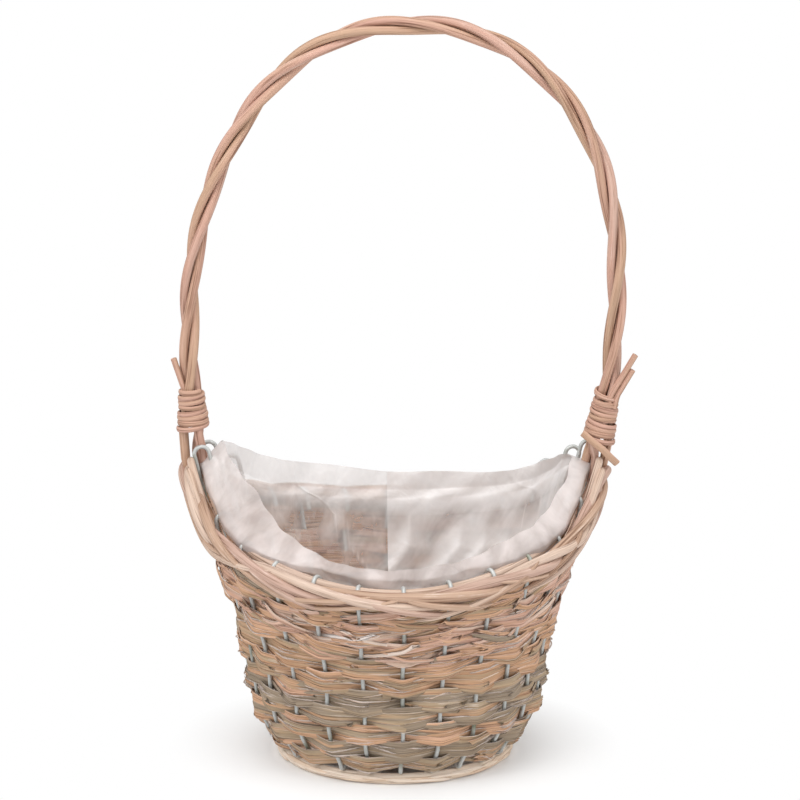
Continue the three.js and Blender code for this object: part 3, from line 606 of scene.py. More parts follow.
FIRST_CHEVRON_ROW = 7
CHEVRON_LEADS = (0.1, 0.4)
CHEVRON_LENGTHS = (1.2 * STAKE_STEP, 1.6 * STAKE_STEP)
CHEVRON_PLACES = (-0.2, 0.75)
CHEVRON_WIDTHS = (0.14, 0.32)
CHEVRON_TONE_SPREAD = 0.22
PALEST_CHEVRON = 0.95
CHEVRON_CLIMBS = (0.3, 0.6)
CHEVRON_LIFTS = (0.6 * MM, 1.8 * MM)
CHEVRON_TIP = 0.8 * MM
FRAYS_PER_ROW = 30
FRAY_LENGTHS = (math.radians(7), math.radians(18))
FRAY_PLACES = (-0.1, 0.95)
FRAY_WIDTH = 0.04
FRAY_LIFTS = (0.6 * MM, 1.2 * MM)
FRAY_SLANT = 0.15
FRAY_TONE = 0.94
EDGE_WANDER = chance.normal(0, 0.9 * MM, (ROW_COUNT + 1, STAKE_COUNT))
EDGE_WANDER[0] = 0
EDGE_WANDER[-1] = 0
DEPTH_WANDER = chance.normal(0, 0.35 * MM, (ROW_COUNT, STAKE_COUNT))


def pushed_in(angle, row):
    """1 where a row passes inside a stake and 0 where it passes outside one, nearly straight in between."""
    place = (angle - STAKE_TURN) / STAKE_STEP + row
    return 0.5 + 0.5 * np.arcsin(WEAVE_BEND * np.cos(math.pi * place)) / math.asin(WEAVE_BEND)


def between_stakes(values, place):
    """A value for each stake, carried over evenly from one stake to the next."""
    before = np.floor(place)
    value_before = values[before.astype(int) % STAKE_COUNT]
    value_after = values[(before.astype(int) + 1) % STAKE_COUNT]
    return value_before + (value_after - value_before) * (place - before)


def woven_edge(angle, row):
    """Height of a row's lower edge: straight from stake to stake, each a little off the even weave."""
    place = (angle - STAKE_TURN) / STAKE_STEP
    before = np.floor(place)
    height_before = row_edge(STAKE_TURN + before * STAKE_STEP, row)
    height_after = row_edge(STAKE_TURN + (before + 1) * STAKE_STEP, row)
    even = height_before + (height_after - height_before) * (place - before)
    return even + between_stakes(EDGE_WANDER[row], place)


def row_point(angle, row, share, out_by):
    """A point of a row: its share of the row's height, and how far out from the stakes it lies."""
    low = wall_section(woven_edge(angle, row))
    high = wall_section(woven_edge(angle, row + 1))
    along, out = section_frame(low, high)
    tall = np.linalg.norm(high - low, axis=-1)
    section = low + along * np.expand_dims(share * tall, -1) + out * np.expand_dims(out_by, -1)
    return placed(angle, section)


def broad_split(row, first, last, low, high, lift, tone, slant=0.0, tip=0.0):
    """A flat split between two angles and two shares of a row's height, ridged along and torn at its ends."""
    run = np.arange(first, last, SPLIT_STEP)
    column = np.linspace(0, 1, SPLIT_COLUMNS + 1)
    from_end = np.minimum(run - run[0], run[-1] - run)
    near_start = np.clip(1 - (run - run[0]) / TORN_LENGTH, 0, 1)
    near_end = np.clip(1 - (run[-1] - run) / TORN_LENGTH, 0, 1)
    torn_start = chance.uniform(-TORN_SHARE, TORN_SHARE, SPLIT_COLUMNS + 1) * TORN_LENGTH
    torn_end = chance.uniform(-TORN_SHARE, TORN_SHARE, SPLIT_COLUMNS + 1) * TORN_LENGTH
    angle = run[:, None] + near_start[:, None] * torn_start + near_end[:, None] * torn_end
    rough = chance.normal(0, ROUGH_STEP, (len(run), 2)).cumsum(axis=0)
    rough = ROUGH_LIMIT * np.tanh((rough - rough.mean(axis=0)) / ROUGH_LIMIT)
    climb = slant * (2 * (run - first) / (last - first) - 1)
    share = (low + rough[:, :1]) + (high - low + rough[:, 1:] - rough[:, :1]) * column + climb[:, None]
    ridge = chance.normal(0, RIDGE_HEIGHT, SPLIT_COLUMNS + 1)
    waves = chance.uniform(*RIPPLE_WAVES, SPLIT_COLUMNS + 1)
    ripple = RIPPLE_HEIGHT * np.sin(run[:, None] * waves + column * RIPPLE_SHIFT)
    inside = 0.5 + ROW_SWINGS.get(row, 1.0) * (pushed_in(angle, row) - 0.5)
    share = 0.5 + (share - 0.5) * (1 - SPLIT_PINCH * inside)
    tilt = SPLIT_TILT * (0.5 - share) * (1 - inside)
    depth = WEAVE_OUTSIDE + (WEAVE_INSIDE - WEAVE_OUTSIDE) * inside + tilt + lift + ridge + ripple
    depth = depth + between_stakes(DEPTH_WANDER[row], (angle - STAKE_TURN) / STAKE_STEP)
    depth = depth + tip * (near_start ** 2 + near_end ** 2)[:, None]
    thin = np.clip(from_end / TORN_LENGTH, TORN_THINNESS, 1)[:, None]
    thin = thin * np.clip(4 * column * (1 - column), EDGE_THINNESS, 1)
    front = row_point(angle, row, share, depth + SPLIT_THICKNESS / 2 * thin)
    back = row_point(angle, row, share, depth - SPLIT_THICKNESS / 2 * thin)
    rings = np.concatenate([front, back[:, ::-1]], axis=1)
    return {"rings": rings, "along": travelled(rings.mean(axis=1)), "tone": tone}


def varied(tone, spread, palest=PALEST_SPLIT):
    return np.clip(tone + chance.normal(0, spread), 0, palest)


for row in range(ROW_COUNT):
    splits = []
    start = chance.integers(0, STAKE_COUNT)
    low_edge = FOOT_ROW_LOW_EDGE if row == 0 else SPLIT_LOW_EDGE
    high_edge = TOP_ROW_HIGH_EDGE if row == ROW_COUNT - 1 else SPLIT_HIGH_EDGE
    covered = 0
    while covered < STAKE_COUNT:
        stakes = int(chance.integers(FEWEST_STAKES, MOST_STAKES + 1))
        split_tone = varied(ROW_TONES[row], SPLIT_TONE_SPREAD)
        slivers = int(chance.integers(FEWEST_SLIVERS, MOST_SLIVERS + 1))
        cuts = np.linspace(low_edge, high_edge, slivers + 1)
        cuts[1:-1] += chance.uniform(-SLIVER_SHIFT, SLIVER_SHIFT, slivers - 1)
        slant = chance.uniform(-SPLIT_SLANT, SPLIT_SLANT)
        for sliver in range(slivers):
            first = STAKE_TURN + (start + covered - chance.uniform(*SLIVER_LEADS)) * STAKE_STEP
            last = STAKE_TURN + (start + covered + stakes + chance.uniform(*SLIVER_TRAILS)) * STAKE_STEP
            low = cuts[sliver] - SLIVER_LAP
            high = cuts[sliver + 1] + SLIVER_LAP
            lift = chance.uniform(-SLIVER_LIFT, SLIVER_LIFT)
            tone = varied(split_tone, SLIVER_TONE_SPREAD)
            splits.append(broad_split(row, first, last, low, high, lift, tone, slant))
        covered += stakes
    for overlay in range(OVERLAYS_PER_ROW):
        first = chance.uniform(0, TURN)
        last = first + chance.uniform(*OVERLAY_LENGTHS)
        low = chance.uniform(*OVERLAY_PLACES)
        high = low + chance.uniform(*OVERLAY_WIDTHS)
        tone = varied(ROW_TONES[row], OVERLAY_TONE_SPREAD)
        lift = chance.uniform(*OVERLAY_LIFTS)
        tip = chance.uniform(0, OVERLAY_TIP)
        slant = chance.uniform(-OVERLAY_SLANT, OVERLAY_SLANT)
        splits.append(broad_split(row, first, last, low, high, lift, tone, slant, tip))
    for chevron in range(CHEVRONS_PER_ROW if row >= FIRST_CHEVRON_ROW else 0):
        stake = int(chance.integers(0, STAKE_COUNT))
        first = STAKE_TURN + (stake - chance.uniform(*CHEVRON_LEADS)) * STAKE_STEP
        last = first + chance.uniform(*CHEVRON_LENGTHS)
        low = chance.uniform(*CHEVRON_PLACES)
        high = low + chance.uniform(*CHEVRON_WIDTHS)
        tone = varied(ROW_TONES[row], CHEVRON_TONE_SPREAD, PALEST_CHEVRON)
        climb = chance.uniform(*CHEVRON_CLIMBS) * (1 if (stake + row) % 2 == 0 else -1)
        lift = chance.uniform(*CHEVRON_LIFTS)
        tip = chance.uniform(0, CHEVRON_TIP)
        splits.append(broad_split(row, first, last, low, high, lift, tone, climb, tip))
    for fray in range(FRAYS_PER_ROW):
        first = chance.uniform(0, TURN)
        last = first + chance.uniform(*FRAY_LENGTHS)
        low = chance.uniform(*FRAY_PLACES)
        slant = chance.uniform(-FRAY_SLANT, FRAY_SLANT)
        lift = chance.uniform(*FRAY_LIFTS)
        splits.append(broad_split(row, first, last, low, low + FRAY_WIDTH, lift, FRAY_TONE, slant))
    node = f"weave_row_{row + 1:02d}"
    finish_piece(roll_up(f"{node}_splits", splits), SPLIT_WILLOW, node)


# Rim: three peeled rods loosely twisted together outside the stakes, with thinner rods that come up out of
# the weave and cross over them on a slant, and loops between the handle's feet. One more rod lies inside the
# stakes, under their hooks.
RIM_ROD_OUT = 5.2 * MM
RIM_INNER_ROD_OUT = 3.9 * MM
RIM_INNER_ROD_RADIUS = 2.5 * MM
RIM_INNER_ROD_TONE = 0.62
RIM_STEPS = 360
RIM_STEEPEST = 1.6
RIM_TWISTED_TONES = [0.2, 0.66, 0.95]
RIM_TWISTED_RADIUS = 2.5 * MM
RIM_TWISTED_SWELLS = [(0.06, 9, 2), (0.04, 23, 5)]
RIM_TWISTS = 6
RIM_TWIST_DRIFT = 1.2
RIM_TWIST_OUT = 6.0 * MM
RIM_TWIST_UP = 1.2 * MM
RIM_TWIST_HEIGHT = 2.9 * MM
RIM_TWIST_DEPTH = 2.4 * MM
CROSSING_RADIUS = 1.8 * MM
CROSSING_RADIUS_SHARES = (0.6, 1.05)
CROSSING_POINTS = 60
CROSSING_REACHES = (math.radians(13), math.radians(20))
CROSSING_CLIMB = 6.5 * MM
CROSSING_DROPS = (1.0 * MM, 4.5 * MM)
CROSSING_OUT = 9.6 * MM
CROSSING_TUCK = 3.4 * MM
CROSSINGS = [
    (-78, -1), (-68, 1), (-58, 1), (-46, -1), (-36, -1), (-24, 1), (-12, 1), (2, -1),
    (16, -1), (24, 1), (33, 1), (44, -1), (55, 1), (64, 1), (74, -1), (112, 1),
    (130, 1), (150, -1), (172, -1), (195, 1), (220, 1), (245, -1),
]
FOOT_LOOPS = [(math.radians(85), 2.5 * MM, 0.7), (math.radians(81), 5.0 * MM, 0.5)]
FOOT_LOOP_RADIUS = 1.98 * MM
FOOT_LOOP_REACH = math.radians(7)
FOOT_LOOP_HEIGHT = 16 * MM
FOOT_LOOP_DROP = 6 * MM
FOOT_LOOP_ROUNDING = 0.6


def rim_lift(angle, up):
    return up * np.minimum(rim_stretch(angle), RIM_STEEPEST)


def uneven(place, index, swells):
    """How thick a rod is along its length: 1 with slow swells, each given by its size, waves and shift."""
    return 1 + sum(size * np.sin(waves * place + shift * index) for size, waves, shift in swells)


def twisted_rim_rod(index, tone):
    """One of the rim's twisted rods, all the way round, a little uneven in its twist and its thickness."""
    angle = np.linspace(math.pi, math.pi + TURN, RIM_STEPS + 1)
    start = TURN * index / len(RIM_TWISTED_TONES)
    turn = RIM_TWISTS * angle - RIM_TWIST_DRIFT * np.sin(2 * angle) + start
    up = RIM_TWIST_UP + RIM_TWIST_HEIGHT * np.cos(turn)
    out_by = RIM_TWIST_OUT + RIM_TWIST_DEPTH * np.sin(turn)
    radius = RIM_TWISTED_RADIUS * uneven(angle, index, RIM_TWISTED_SWELLS)
    return hoop(rim_point(angle, rim_lift(angle, up), out_by), radius, angle, tone)


def crossing_rod(middle, climb, tone):
    """A thinner rod that crosses over the twisted ones on a slant, tapered at both ends."""
    share = np.linspace(-1, 1, CROSSING_POINTS)
    angle = math.radians(middle) + chance.uniform(*CROSSING_REACHES) * share
    up = climb * CROSSING_CLIMB * share - chance.uniform(*CROSSING_DROPS)
    out_by = CROSSING_OUT - CROSSING_TUCK * np.abs(share) ** 3
    taper = np.clip(1.02 - np.abs(share) ** 5, 0.05, 1)
    radius = CROSSING_RADIUS * chance.uniform(*CROSSING_RADIUS_SHARES) * taper
    return rod(rim_point(angle, rim_lift(angle, up), out_by), radius, outwards(angle), tone, FINE_ROD_SIDES)


def foot_loop(side, centre, out_by, tone):
    """A rod of the rim that loops up between the handle's feet and back down."""
    share = np.linspace(-1, 1, CROSSING_POINTS)
    angle = side * (centre + FOOT_LOOP_REACH * share)
    up = FOOT_LOOP_HEIGHT * np.cos(share * math.pi / 2) ** FOOT_LOOP_ROUNDING - FOOT_LOOP_DROP
    path = rim_point(angle, up, np.full(CROSSING_POINTS, out_by))
    return rod(path, FOOT_LOOP_RADIUS, sideways(angle), tone, FINE_ROD_SIDES)


PALE_WILLOW = willow(
    "pale_willow",
    [colour(174, 140, 116), colour(198, 166, 142), colour(214, 190, 172), colour(190, 156, 140)],
    split_and_shade_colour=colour(112, 82, 64), chalk_colour=colour(236, 222, 212),
    fibres=1.6, chalkiness=0.72, edges=0.0, bump=0.3 * MM, roughness=0.75,
)

inner_angle = np.linspace(math.pi, math.pi + TURN, RIM_STEPS + 1)
inner_path = rim_point(inner_angle, np.zeros(RIM_STEPS + 1), np.full(RIM_STEPS + 1, -RIM_INNER_ROD_OUT))
inner_rod = hoop(inner_path, RIM_INNER_ROD_RADIUS, inner_angle, RIM_INNER_ROD_TONE, ROD_SIDES)
finish_piece(roll_up("rim_inner_hoop", [inner_rod]), PALE_WILLOW, "rim_inner_rod")
twisted_rods = [twisted_rim_rod(index, tone) for index, tone in enumerate(RIM_TWISTED_TONES)]
foot_loops = [foot_loop(side, *loop) for side in (-1, 1) for loop in FOOT_LOOPS]
crossing_rods = [crossing_rod(middle, climb, chance.uniform(0, 1)) for middle, climb in CROSSINGS]
outer_rods = {"upper": twisted_rods[:2] + foot_loops, "lower": twisted_rods[2:] + crossing_rods}
for height, rods in outer_rods.items():
    outer_hoop = roll_up(f"rim_outer_hoop_{height}", rods)
    finish_piece(outer_hoop, PALE_WILLOW, f"rim_outer_rod_{height}")


# Handle: three long peeled rods twisted together into a tall hoop. Their ends splay below the bindings and
# are pushed down onto the rim and between its rods.
HANDLE_ROD_RADIUS = 2.4 * MM
HANDLE_ROD_SWELLS = [(0.03, 31, 1), (0.02, 83, 2)]
HANDLE_HALF_WIDTH = 110.5 * MM
HANDLE_SPRING_HEIGHT = 240 * MM
HANDLE_ARCH_RISE = 150 * MM
HANDLE_ARCH_POWER = 2.17
HANDLE_LEAN = 3.5 * MM
HANDLE_SWAY = 5.4 * MM
HANDLE_SWAY_START = 215 * MM
HANDLE_SWAY_END = 347 * MM
HANDLE_TURNS = 5
HANDLE_SEAT = 8.05 * MM
HANDLE_LINE_POINTS = 4001
HANDLE_TWIST_POINTS = 420
BUNDLE_RADIUS = 2.98 * MM
BINDING_SPREAD = 2.3 * MM
BINDING_SPREAD_CURVE = 1.5
BINDING_PITCH = 2.7 * MM
LEFT_BINDING = {"side": -1, "start": 15 * MM, "turns": 7.4}
RIGHT_BINDING = {"side": 1, "start": 9 * MM, "turns": 8.8}
LEG_STEPS = 13
LEG_TIP_POINTS = 6
OUTER_LEG_DEPTH = 3 * MM
WEDGE_DEPTH = 5 * MM
WEDGE_SHIFT = 3.29 * MM
TOWARDS_FRONT = np.array([0.0, -1.0, 0.0])
HANDLE_RODS = [("outer", "outer", 0.35), ("wedge", "inner", 0.55), ("inner", "wedge", 0.75)]


def eased(share):
    return share ** 2 * (3 - 2 * share)


def handle_line(share):
    """The handle's middle line, from the left foot to the right: two bowed legs and a rounded arch."""
    side = np.where(share < 0.5, -1.0, 1.0)
    rise = np.minimum(1, 4 * np.minimum(share, 1 - share))
    foot = rim_point(np.array(math.pi / 2), np.array(HANDLE_SEAT), np.array(0.0))
    swell = np.sin(rise * math.pi / 2)
    leg_x = side * (foot[0] + (HANDLE_HALF_WIDTH - foot[0]) * swell) + HANDLE_LEAN * swell
    leg_z = foot[2] + (HANDLE_SPRING_HEIGHT - foot[2]) * rise
    sweep = math.pi * (1.5 - 2 * np.clip(share, 0.25, 0.75))
    power = 2 / HANDLE_ARCH_POWER
    across = np.sign(np.cos(sweep)) * np.abs(np.cos(sweep)) ** power
    arch_x = HANDLE_LEAN + HANDLE_HALF_WIDTH * across
    arch_z = HANDLE_SPRING_HEIGHT + HANDLE_ARCH_RISE * np.clip(np.sin(sweep), 0, None) ** power
    x = np.where(rise < 1, leg_x, arch_x)
    z = np.where(rise < 1, leg_z, arch_z)
    swayed = np.clip((z - HANDLE_SWAY_START) / (HANDLE_SWAY_END - HANDLE_SWAY_START), 0, 1)
    return np.stack([x + HANDLE_SWAY * eased(swayed), np.zeros_like(x), z], axis=-1)


handle_points = handle_line(np.linspace(0, 1, HANDLE_LINE_POINTS))
handle_distance = travelled(handle_points)
HANDLE_LENGTH = handle_distance[-1]


def beside_handle(distance, out_by, front_by):
    """Points beside the handle's middle line, outwards in its plane and towards the front."""
    distance = np.clip(distance, 0, HANDLE_LENGTH)

    def line(where):
        return np.stack([np.interp(where, handle_distance, axis) for axis in handle_points.T], axis=-1)

    ahead = line(np.clip(distance + MM, 0, HANDLE_LENGTH))
    behind = line(np.clip(distance - MM, 0, HANDLE_LENGTH))
    along = (ahead - behind) / np.linalg.norm(ahead - behind, axis=-1, keepdims=True)
    out = -np.cross(along, TOWARDS_FRONT)
    return line(distance) + out * np.expand_dims(out_by, -1) + TOWARDS_FRONT * np.expand_dims(front_by, -1)


def from_foot(binding, distance):
    return distance if binding["side"] < 0 else HANDLE_LENGTH - distance


def bundle_radius(distance):
    """The rods lie close together above the bindings and spread a little inside them."""
    spread = np.zeros_like(distance)
    for binding in (LEFT_BINDING, RIGHT_BINDING):
        top = binding["start"] + (binding["turns"] + 1) * BINDING_PITCH
        share = (top - from_foot(binding, distance)) / (top - binding["start"])
        spread = np.maximum(spread, BINDING_SPREAD * np.clip(share, 0, 1) ** BINDING_SPREAD_CURVE)
    return BUNDLE_RADIUS + spread


def twisted(index, distance):
    """How far out and towards the front a rod lies in the twisted bundle."""
    twist_length = HANDLE_LENGTH - LEFT_BINDING["start"] - RIGHT_BINDING["start"]
    share = (distance - LEFT_BINDING["start"]) / twist_length
    turn = TURN * (HANDLE_TURNS * share - index / len(HANDLE_RODS))
    radius = bundle_radius(distance)
    return radius * np.cos(turn), radius * np.sin(turn)


def splayed_leg(index, landing, binding):
    """The stretch of a leg from its landing on the rim up to the binding, with its radius at each point."""
    side = binding["side"]
    landed_out, landed_front, lowest, highest, tip_radius = {
        "outer": (RIM_ROD_OUT, 0.0, -OUTER_LEG_DEPTH, HANDLE_SEAT, HANDLE_ROD_RADIUS),
        "inner": (-RIM_INNER_ROD_OUT, 0.0, RIM_INNER_ROD_RADIUS + FIT_GAP, HANDLE_SEAT, HANDLE_ROD_RADIUS),
        "wedge": (0.0, side * WEDGE_SHIFT, -WEDGE_DEPTH, RIM_ROD_STEP, WIRE_RADIUS),
    }[landing]
    tip_up = np.linspace(lowest, highest, LEG_TIP_POINTS, endpoint=landing == "wedge")
    tip_out = np.full(LEG_TIP_POINTS, landed_out)
    tip = rim_point(np.array(side * math.pi / 2), tip_up, tip_out) + landed_front * TOWARDS_FRONT
    share = np.linspace(0, 1, LEG_STEPS, endpoint=False)
    bound_out, bound_front = twisted(index, np.array(from_foot(binding, binding["start"])))
    out_by = landed_out + (bound_out - landed_out) * eased(share)
    front_by = landed_front + (bound_front - landed_front) * eased(share)
    leg = beside_handle(from_foot(binding, share * binding["start"]), out_by, front_by)
    leg_radius = tip_radius + (HANDLE_ROD_RADIUS - tip_radius) * np.clip(0.5 + share, 0, 1)
    return np.vstack([tip, leg]), np.concatenate([np.full(LEG_TIP_POINTS, tip_radius), leg_radius])


PEELED_WILLOW = willow(
    "peeled_willow",
    [colour(160, 132, 110), colour(194, 158, 130), colour(200, 156, 138), colour(210, 184, 168)],
    split_and_shade_colour=colour(118, 82, 64), chalk_colour=colour(222, 202, 192),
    fibres=1.2, chalkiness=0.7, edges=0.0, bump=0.12 * MM, roughness=0.65,
)

for index, (left_landing, right_landing, tone) in enumerate(HANDLE_RODS):
    left_path, left_radius = splayed_leg(index, left_landing, LEFT_BINDING)
    right_path, right_radius = splayed_leg(index, right_landing, RIGHT_BINDING)
    right_start = HANDLE_LENGTH - RIGHT_BINDING["start"]
    distance = np.linspace(LEFT_BINDING["start"], right_start, HANDLE_TWIST_POINTS)
    middle = beside_handle(distance, *twisted(index, distance))
    middle_radius = np.full(HANDLE_TWIST_POINTS, HANDLE_ROD_RADIUS)
    path = np.vstack([left_path, middle, right_path[::-1]])
    radius = np.concatenate([left_radius, middle_radius, right_radius[::-1]])
    radius = radius * uneven(travelled(path), index, HANDLE_ROD_SWELLS)
    node = f"handle_rod_{index + 1}"
    hint = np.broadcast_to(TOWARDS_FRONT, path.shape)
    handle_rod = roll_up(f"{node}_peeled", [rod(path, radius, hint, tone)])
    finish_piece(handle_rod, PEELED_WILLOW, node)


# Bindings: one thin willow split wound tightly round each leg of the handle, from below the twist upwards.
# On the right its end is brought down slantwise across the splayed rods and cut off.
BINDING_WIDTH = 2.7 * MM
BINDING_WIDTH_SWELL = 0.12
BINDING_THICKNESS = 1.7 * MM
BINDING_SINK = 0.35
BINDING_BULGE = 0.15
BINDING_WANDER = 0.4 * MM
BINDING_TONE = 0.55
BINDING_STEPS = 40
LOOSE_TURNS = 1.2
LOOSE_TURN_GAP = 2 * MM
SLANTING_END = np.array([
    [97.5, -6.5, 174.5], [103, -10, 170.5], [108, -10.4, 166.5], [112, -9, 162], [115.5, -6.5, 158],
]) * MM
SLANTING_END_WIDTH = 3.8 * MM
SLANTING_END_TONE = 0.45


def wound_split(binding):
    """The binding's turns as one flat strip round the bundle of rods."""
    wound = np.linspace(0, binding["turns"], int(binding["turns"] * BINDING_STEPS))
    turn = TURN * wound
    wander = BINDING_WANDER * np.sin(turn + chance.uniform(0, TURN)) * np.sin(0.37 * turn + 1)
    last_turn = np.clip(wound - binding["turns"] + LOOSE_TURNS, 0, 1)
    loose = LOOSE_TURN_GAP * last_turn if binding["side"] > 0 else 0
    along = binding["start"] + BINDING_WIDTH / 2 + wound * BINDING_PITCH + wander + loose
    distance = from_foot(binding, along)
    lift = BINDING_THICKNESS * (BINDING_SINK + BINDING_BULGE * np.sin(1.7 * turn))
    reach = bundle_radius(distance) + HANDLE_ROD_RADIUS + lift
    path = beside_handle(distance, reach * np.cos(turn), reach * np.sin(turn))
    facing = path - beside_handle(distance, np.zeros_like(distance), np.zeros_like(distance))
    width = BINDING_WIDTH * (1 + BINDING_WIDTH_SWELL * np.sin(0.81 * turn + 2))
    return flat_strip(path, width, BINDING_THICKNESS, facing, BINDING_TONE)


left_winding = roll_up("handle_binding_left_split", [wound_split(LEFT_BINDING)])
finish_piece(left_winding, PEELED_WILLOW, "handle_binding_left")
end_facing = np.broadcast_to(TOWARDS_FRONT, SLANTING_END.shape)
slanting_end = flat_strip(SLANTING_END, SLANTING_END_WIDTH, BINDING_THICKNESS, end_facing, SLANTING_END_TONE)
right_winding = roll_up("handle_binding_right_split", [wound_split(RIGHT_BINDING), slanting_end])
finish_piece(right_winding, PEELED_WILLOW, "handle_binding_right")


# Tails: the cut ends of the rods that start the bindings, left standing up beside the handle.
# The left one is a single rod, and the right one is a pair of unequal length.
TAIL_RADIUS = 1.6 * MM
TAIL_TUCK = 7 * MM
TAIL_STEP_OUT = 0.48 * MM
TAIL_POINTS = 12
TAILS = {
    "left": (LEFT_BINDING, 17 * MM, math.radians(18), -2.2 * MM, 2.0 * MM),
    "right_long": (RIGHT_BINDING, 25 * MM, math.radians(30), -4.0 * MM, 4.6 * MM),
    "right_short": (RIGHT_BINDING, 16 * MM, math.radians(30), -0.8 * MM, 4.0 * MM),
}


def tail(binding, length, lean, out_by, front_by):
    """A rod that comes up from under a binding's last turns and leans away from the handle."""
    top = np.array(binding["start"] + binding["turns"] * BINDING_PITCH + BINDING_WIDTH)
    reach = BUNDLE_RADIUS + HANDLE_ROD_RADIUS + out_by
    tucked = beside_handle(from_foot(binding, top - TAIL_TUCK), reach, front_by)
    rising = beside_handle(from_foot(binding, top), reach + TAIL_STEP_OUT, front_by)
    direction = np.array([binding["side"] * math.sin(lean), 0, math.cos(lean)])
    share = np.linspace(0, 1, TAIL_POINTS)[:, None]
    path = tucked + (rising - tucked) * np.clip(3 * share, 0, 1)
    path = path + direction * length * np.clip(1.5 * share - 0.5, 0, 1)
    return rod(path, TAIL_RADIUS, np.broadcast_to(TOWARDS_FRONT, path.shape))


for name, sizes in TAILS.items():
    tail_rod = roll_up(f"tail_{name}_rod", [tail(*sizes)])
    finish_piece(tail_rod, PEELED_WILLOW, f"handle_tail_{name}")


# Liner: one sheet of thin milky film pressed into the basket, its ends overlapped at the back on the right.
# It lies in soft folds and creases. Its cut edge stands up inside the wire hooks and leans in, and in front
# of the handle's feet it is folded over the rim's inner rod.
LINER_START = math.radians(100)
LINER_OVERLAP = math.radians(83)
LINER_COLUMNS = 900
LINER_FLOOR_ROWS = 9
LINER_WALL_ROWS = 27
LINER_CUFF_ROWS = 50
LINER_FLOOR_HEIGHT = 12.2 * MM
LINER_FLOOR_RADIUS = 57.5 * MM
LINER_WALL_FROM = 0.6
LINER_WALL_TO = 8.2
LINER_WALL_INSET = 4.7 * MM
LINER_RIM_INSET = 9.2 * MM
LINER_HANGS_FROM = 5
LINER_HANGS_OVER = 3.6
FLOOR_LAYER_GAP = 0.4 * MM
WALL_LAYER_GAP = 0.8 * MM
LAYER_EDGE = math.radians(3)
MAIN_FOLD_DEPTH = 4 * MM
CREASES = 26
CREASE_WIDTHS = (math.radians(0.5), math.radians(2.2))
CREASE_STRENGTHS = (0.2, 0.75)
CREASE_SLANT = 0.6
CREASE_DEPTH = 0.8 * MM
CUFF_CREASE_DEPTH = 0.6 * MM
CREASE_MILK = 0.7
OVERLAP_MILK = 0.96
OVERLAP_MILK_LOSS = 0.26
OVERLAP_THIN_FROM = 110 * MM
OVERLAP_THIN_OVER = 40 * MM
OVERLAP_GAP_ANGLE = math.radians(136)
OVERLAP_GAP_HEIGHT = 127 * MM
OVERLAP_GAP_SLANT = math.radians(27) / (39 * MM)
OVERLAP_GAP_WIDTH = math.radians(5)
OVERLAP_GAP_CLEARNESS = 0.7
DRAWN_FOLDS = np.radians([-31, -21, -11, 9])
DRAWN_FOLD_WIDTH = math.radians(2.6)
DRAWN_FOLD_DEPTH = 2.6 * MM
HEM_ANGLES = np.radians([-180, -125, -90, -66, -42, 0, 74, 90, 117, 180])
HEM_HEIGHTS = np.array([15, 20, 12, 23, 10, 9, 13, 4, 11, 15]) * MM
HEM_SMOOTHING = np.radians(np.linspace(-7, 7, 15))
HEM_RIPPLE = 0.5 * MM
HEM_START = 0.8
HEM_LEAN = 3 * MM
HEM_LEAN_CURVE = 0.8
LEFT_HEM_LEAN = 9 * MM
LEFT_HEM_ANGLE = math.radians(-62)
LEFT_HEM_WIDTH = math.radians(28)
CUFF_SHARES = [0.0, 0.2, 0.36, 0.46, 0.56, 0.62, 0.7, HEM_START, 1.0]
CUFF_FOLDED_UP = np.array([-10.2, -1.0, 3.0, 3.3, 1.6, 0.0, 3.0, 5.0]) * MM
CUFF_PLAIN_UP = np.array([-10.2, -4.0, -1.0, 0.0, 1.0, 2.0, 3.5, 5.0]) * MM
CUFF_FOLDED_OUT = np.array([0.0, 0.0, 2.4, 5.3, 7.9, 8.0, 8.0, 7.2, 0.0]) * MM
CUFF_SMOOTHING = np.linspace(-0.04, 0.04, 5)
CUFF_INSET = 9.5 * MM
CUFF_CRINKLE = 1.1 * MM

film_angle = LINER_START - TURN + np.linspace(0, TURN + LINER_OVERLAP, LINER_COLUMNS + 1)
facing_front = np.cos(film_angle)
second_layer = np.clip((film_angle - LINER_START) / LAYER_EDGE, 0, 1)
creases = []
for crease in range(CREASES):
    place = chance.uniform(0, TURN)
    width = chance.uniform(*CREASE_WIDTHS)
    strength = chance.uniform(*CREASE_STRENGTHS)
    creases.append((place, width, strength, chance.normal(0, CREASE_SLANT)))
film_points = []
film_folds = []
film_cuff_shades = []


def half_turn(angle):
    """An angle brought to within half a turn of the front."""
    return (angle + math.pi) % TURN - math.pi


def main_folds(share):
    """How far the film's broad folds stand in from the wall at a share of its height."""
    waves = 0.5 + 0.3 * np.cos(6 * film_angle + math.radians(57)) + 0.2 * np.cos(10 * film_angle)
    return MAIN_FOLD_DEPTH * waves * math.sin(math.pi * min(share, 1))


def fine_creases(share):
    """Sharp narrow creases across the film, from 0 to 1."""
    height = np.zeros_like(film_angle)
    for place, width, strength, slant in creases:
        away = half_turn(film_angle - place - slant * (share - 0.5))
        height = np.maximum(height, strength * np.exp(-np.abs(away) / width))
    return height


def from_overlap_gap(height):
    """How far round from the slanting gap in the second layer the film is, at a height."""
    return film_angle - OVERLAP_GAP_ANGLE - OVERLAP_GAP_SLANT * (OVERLAP_GAP_HEIGHT - height)


def overlap_milk(height):
    """How milky the second layer is: thinner lower down and along its slanting gap."""
    gap = np.exp(-(from_overlap_gap(height) / OVERLAP_GAP_WIDTH) ** 2)
    lower = np.clip((OVERLAP_THIN_FROM - height) / OVERLAP_THIN_OVER, 0, 1)
    return second_layer * (OVERLAP_MILK - OVERLAP_MILK_LOSS * lower) * (1 - OVERLAP_GAP_CLEARNESS * gap)


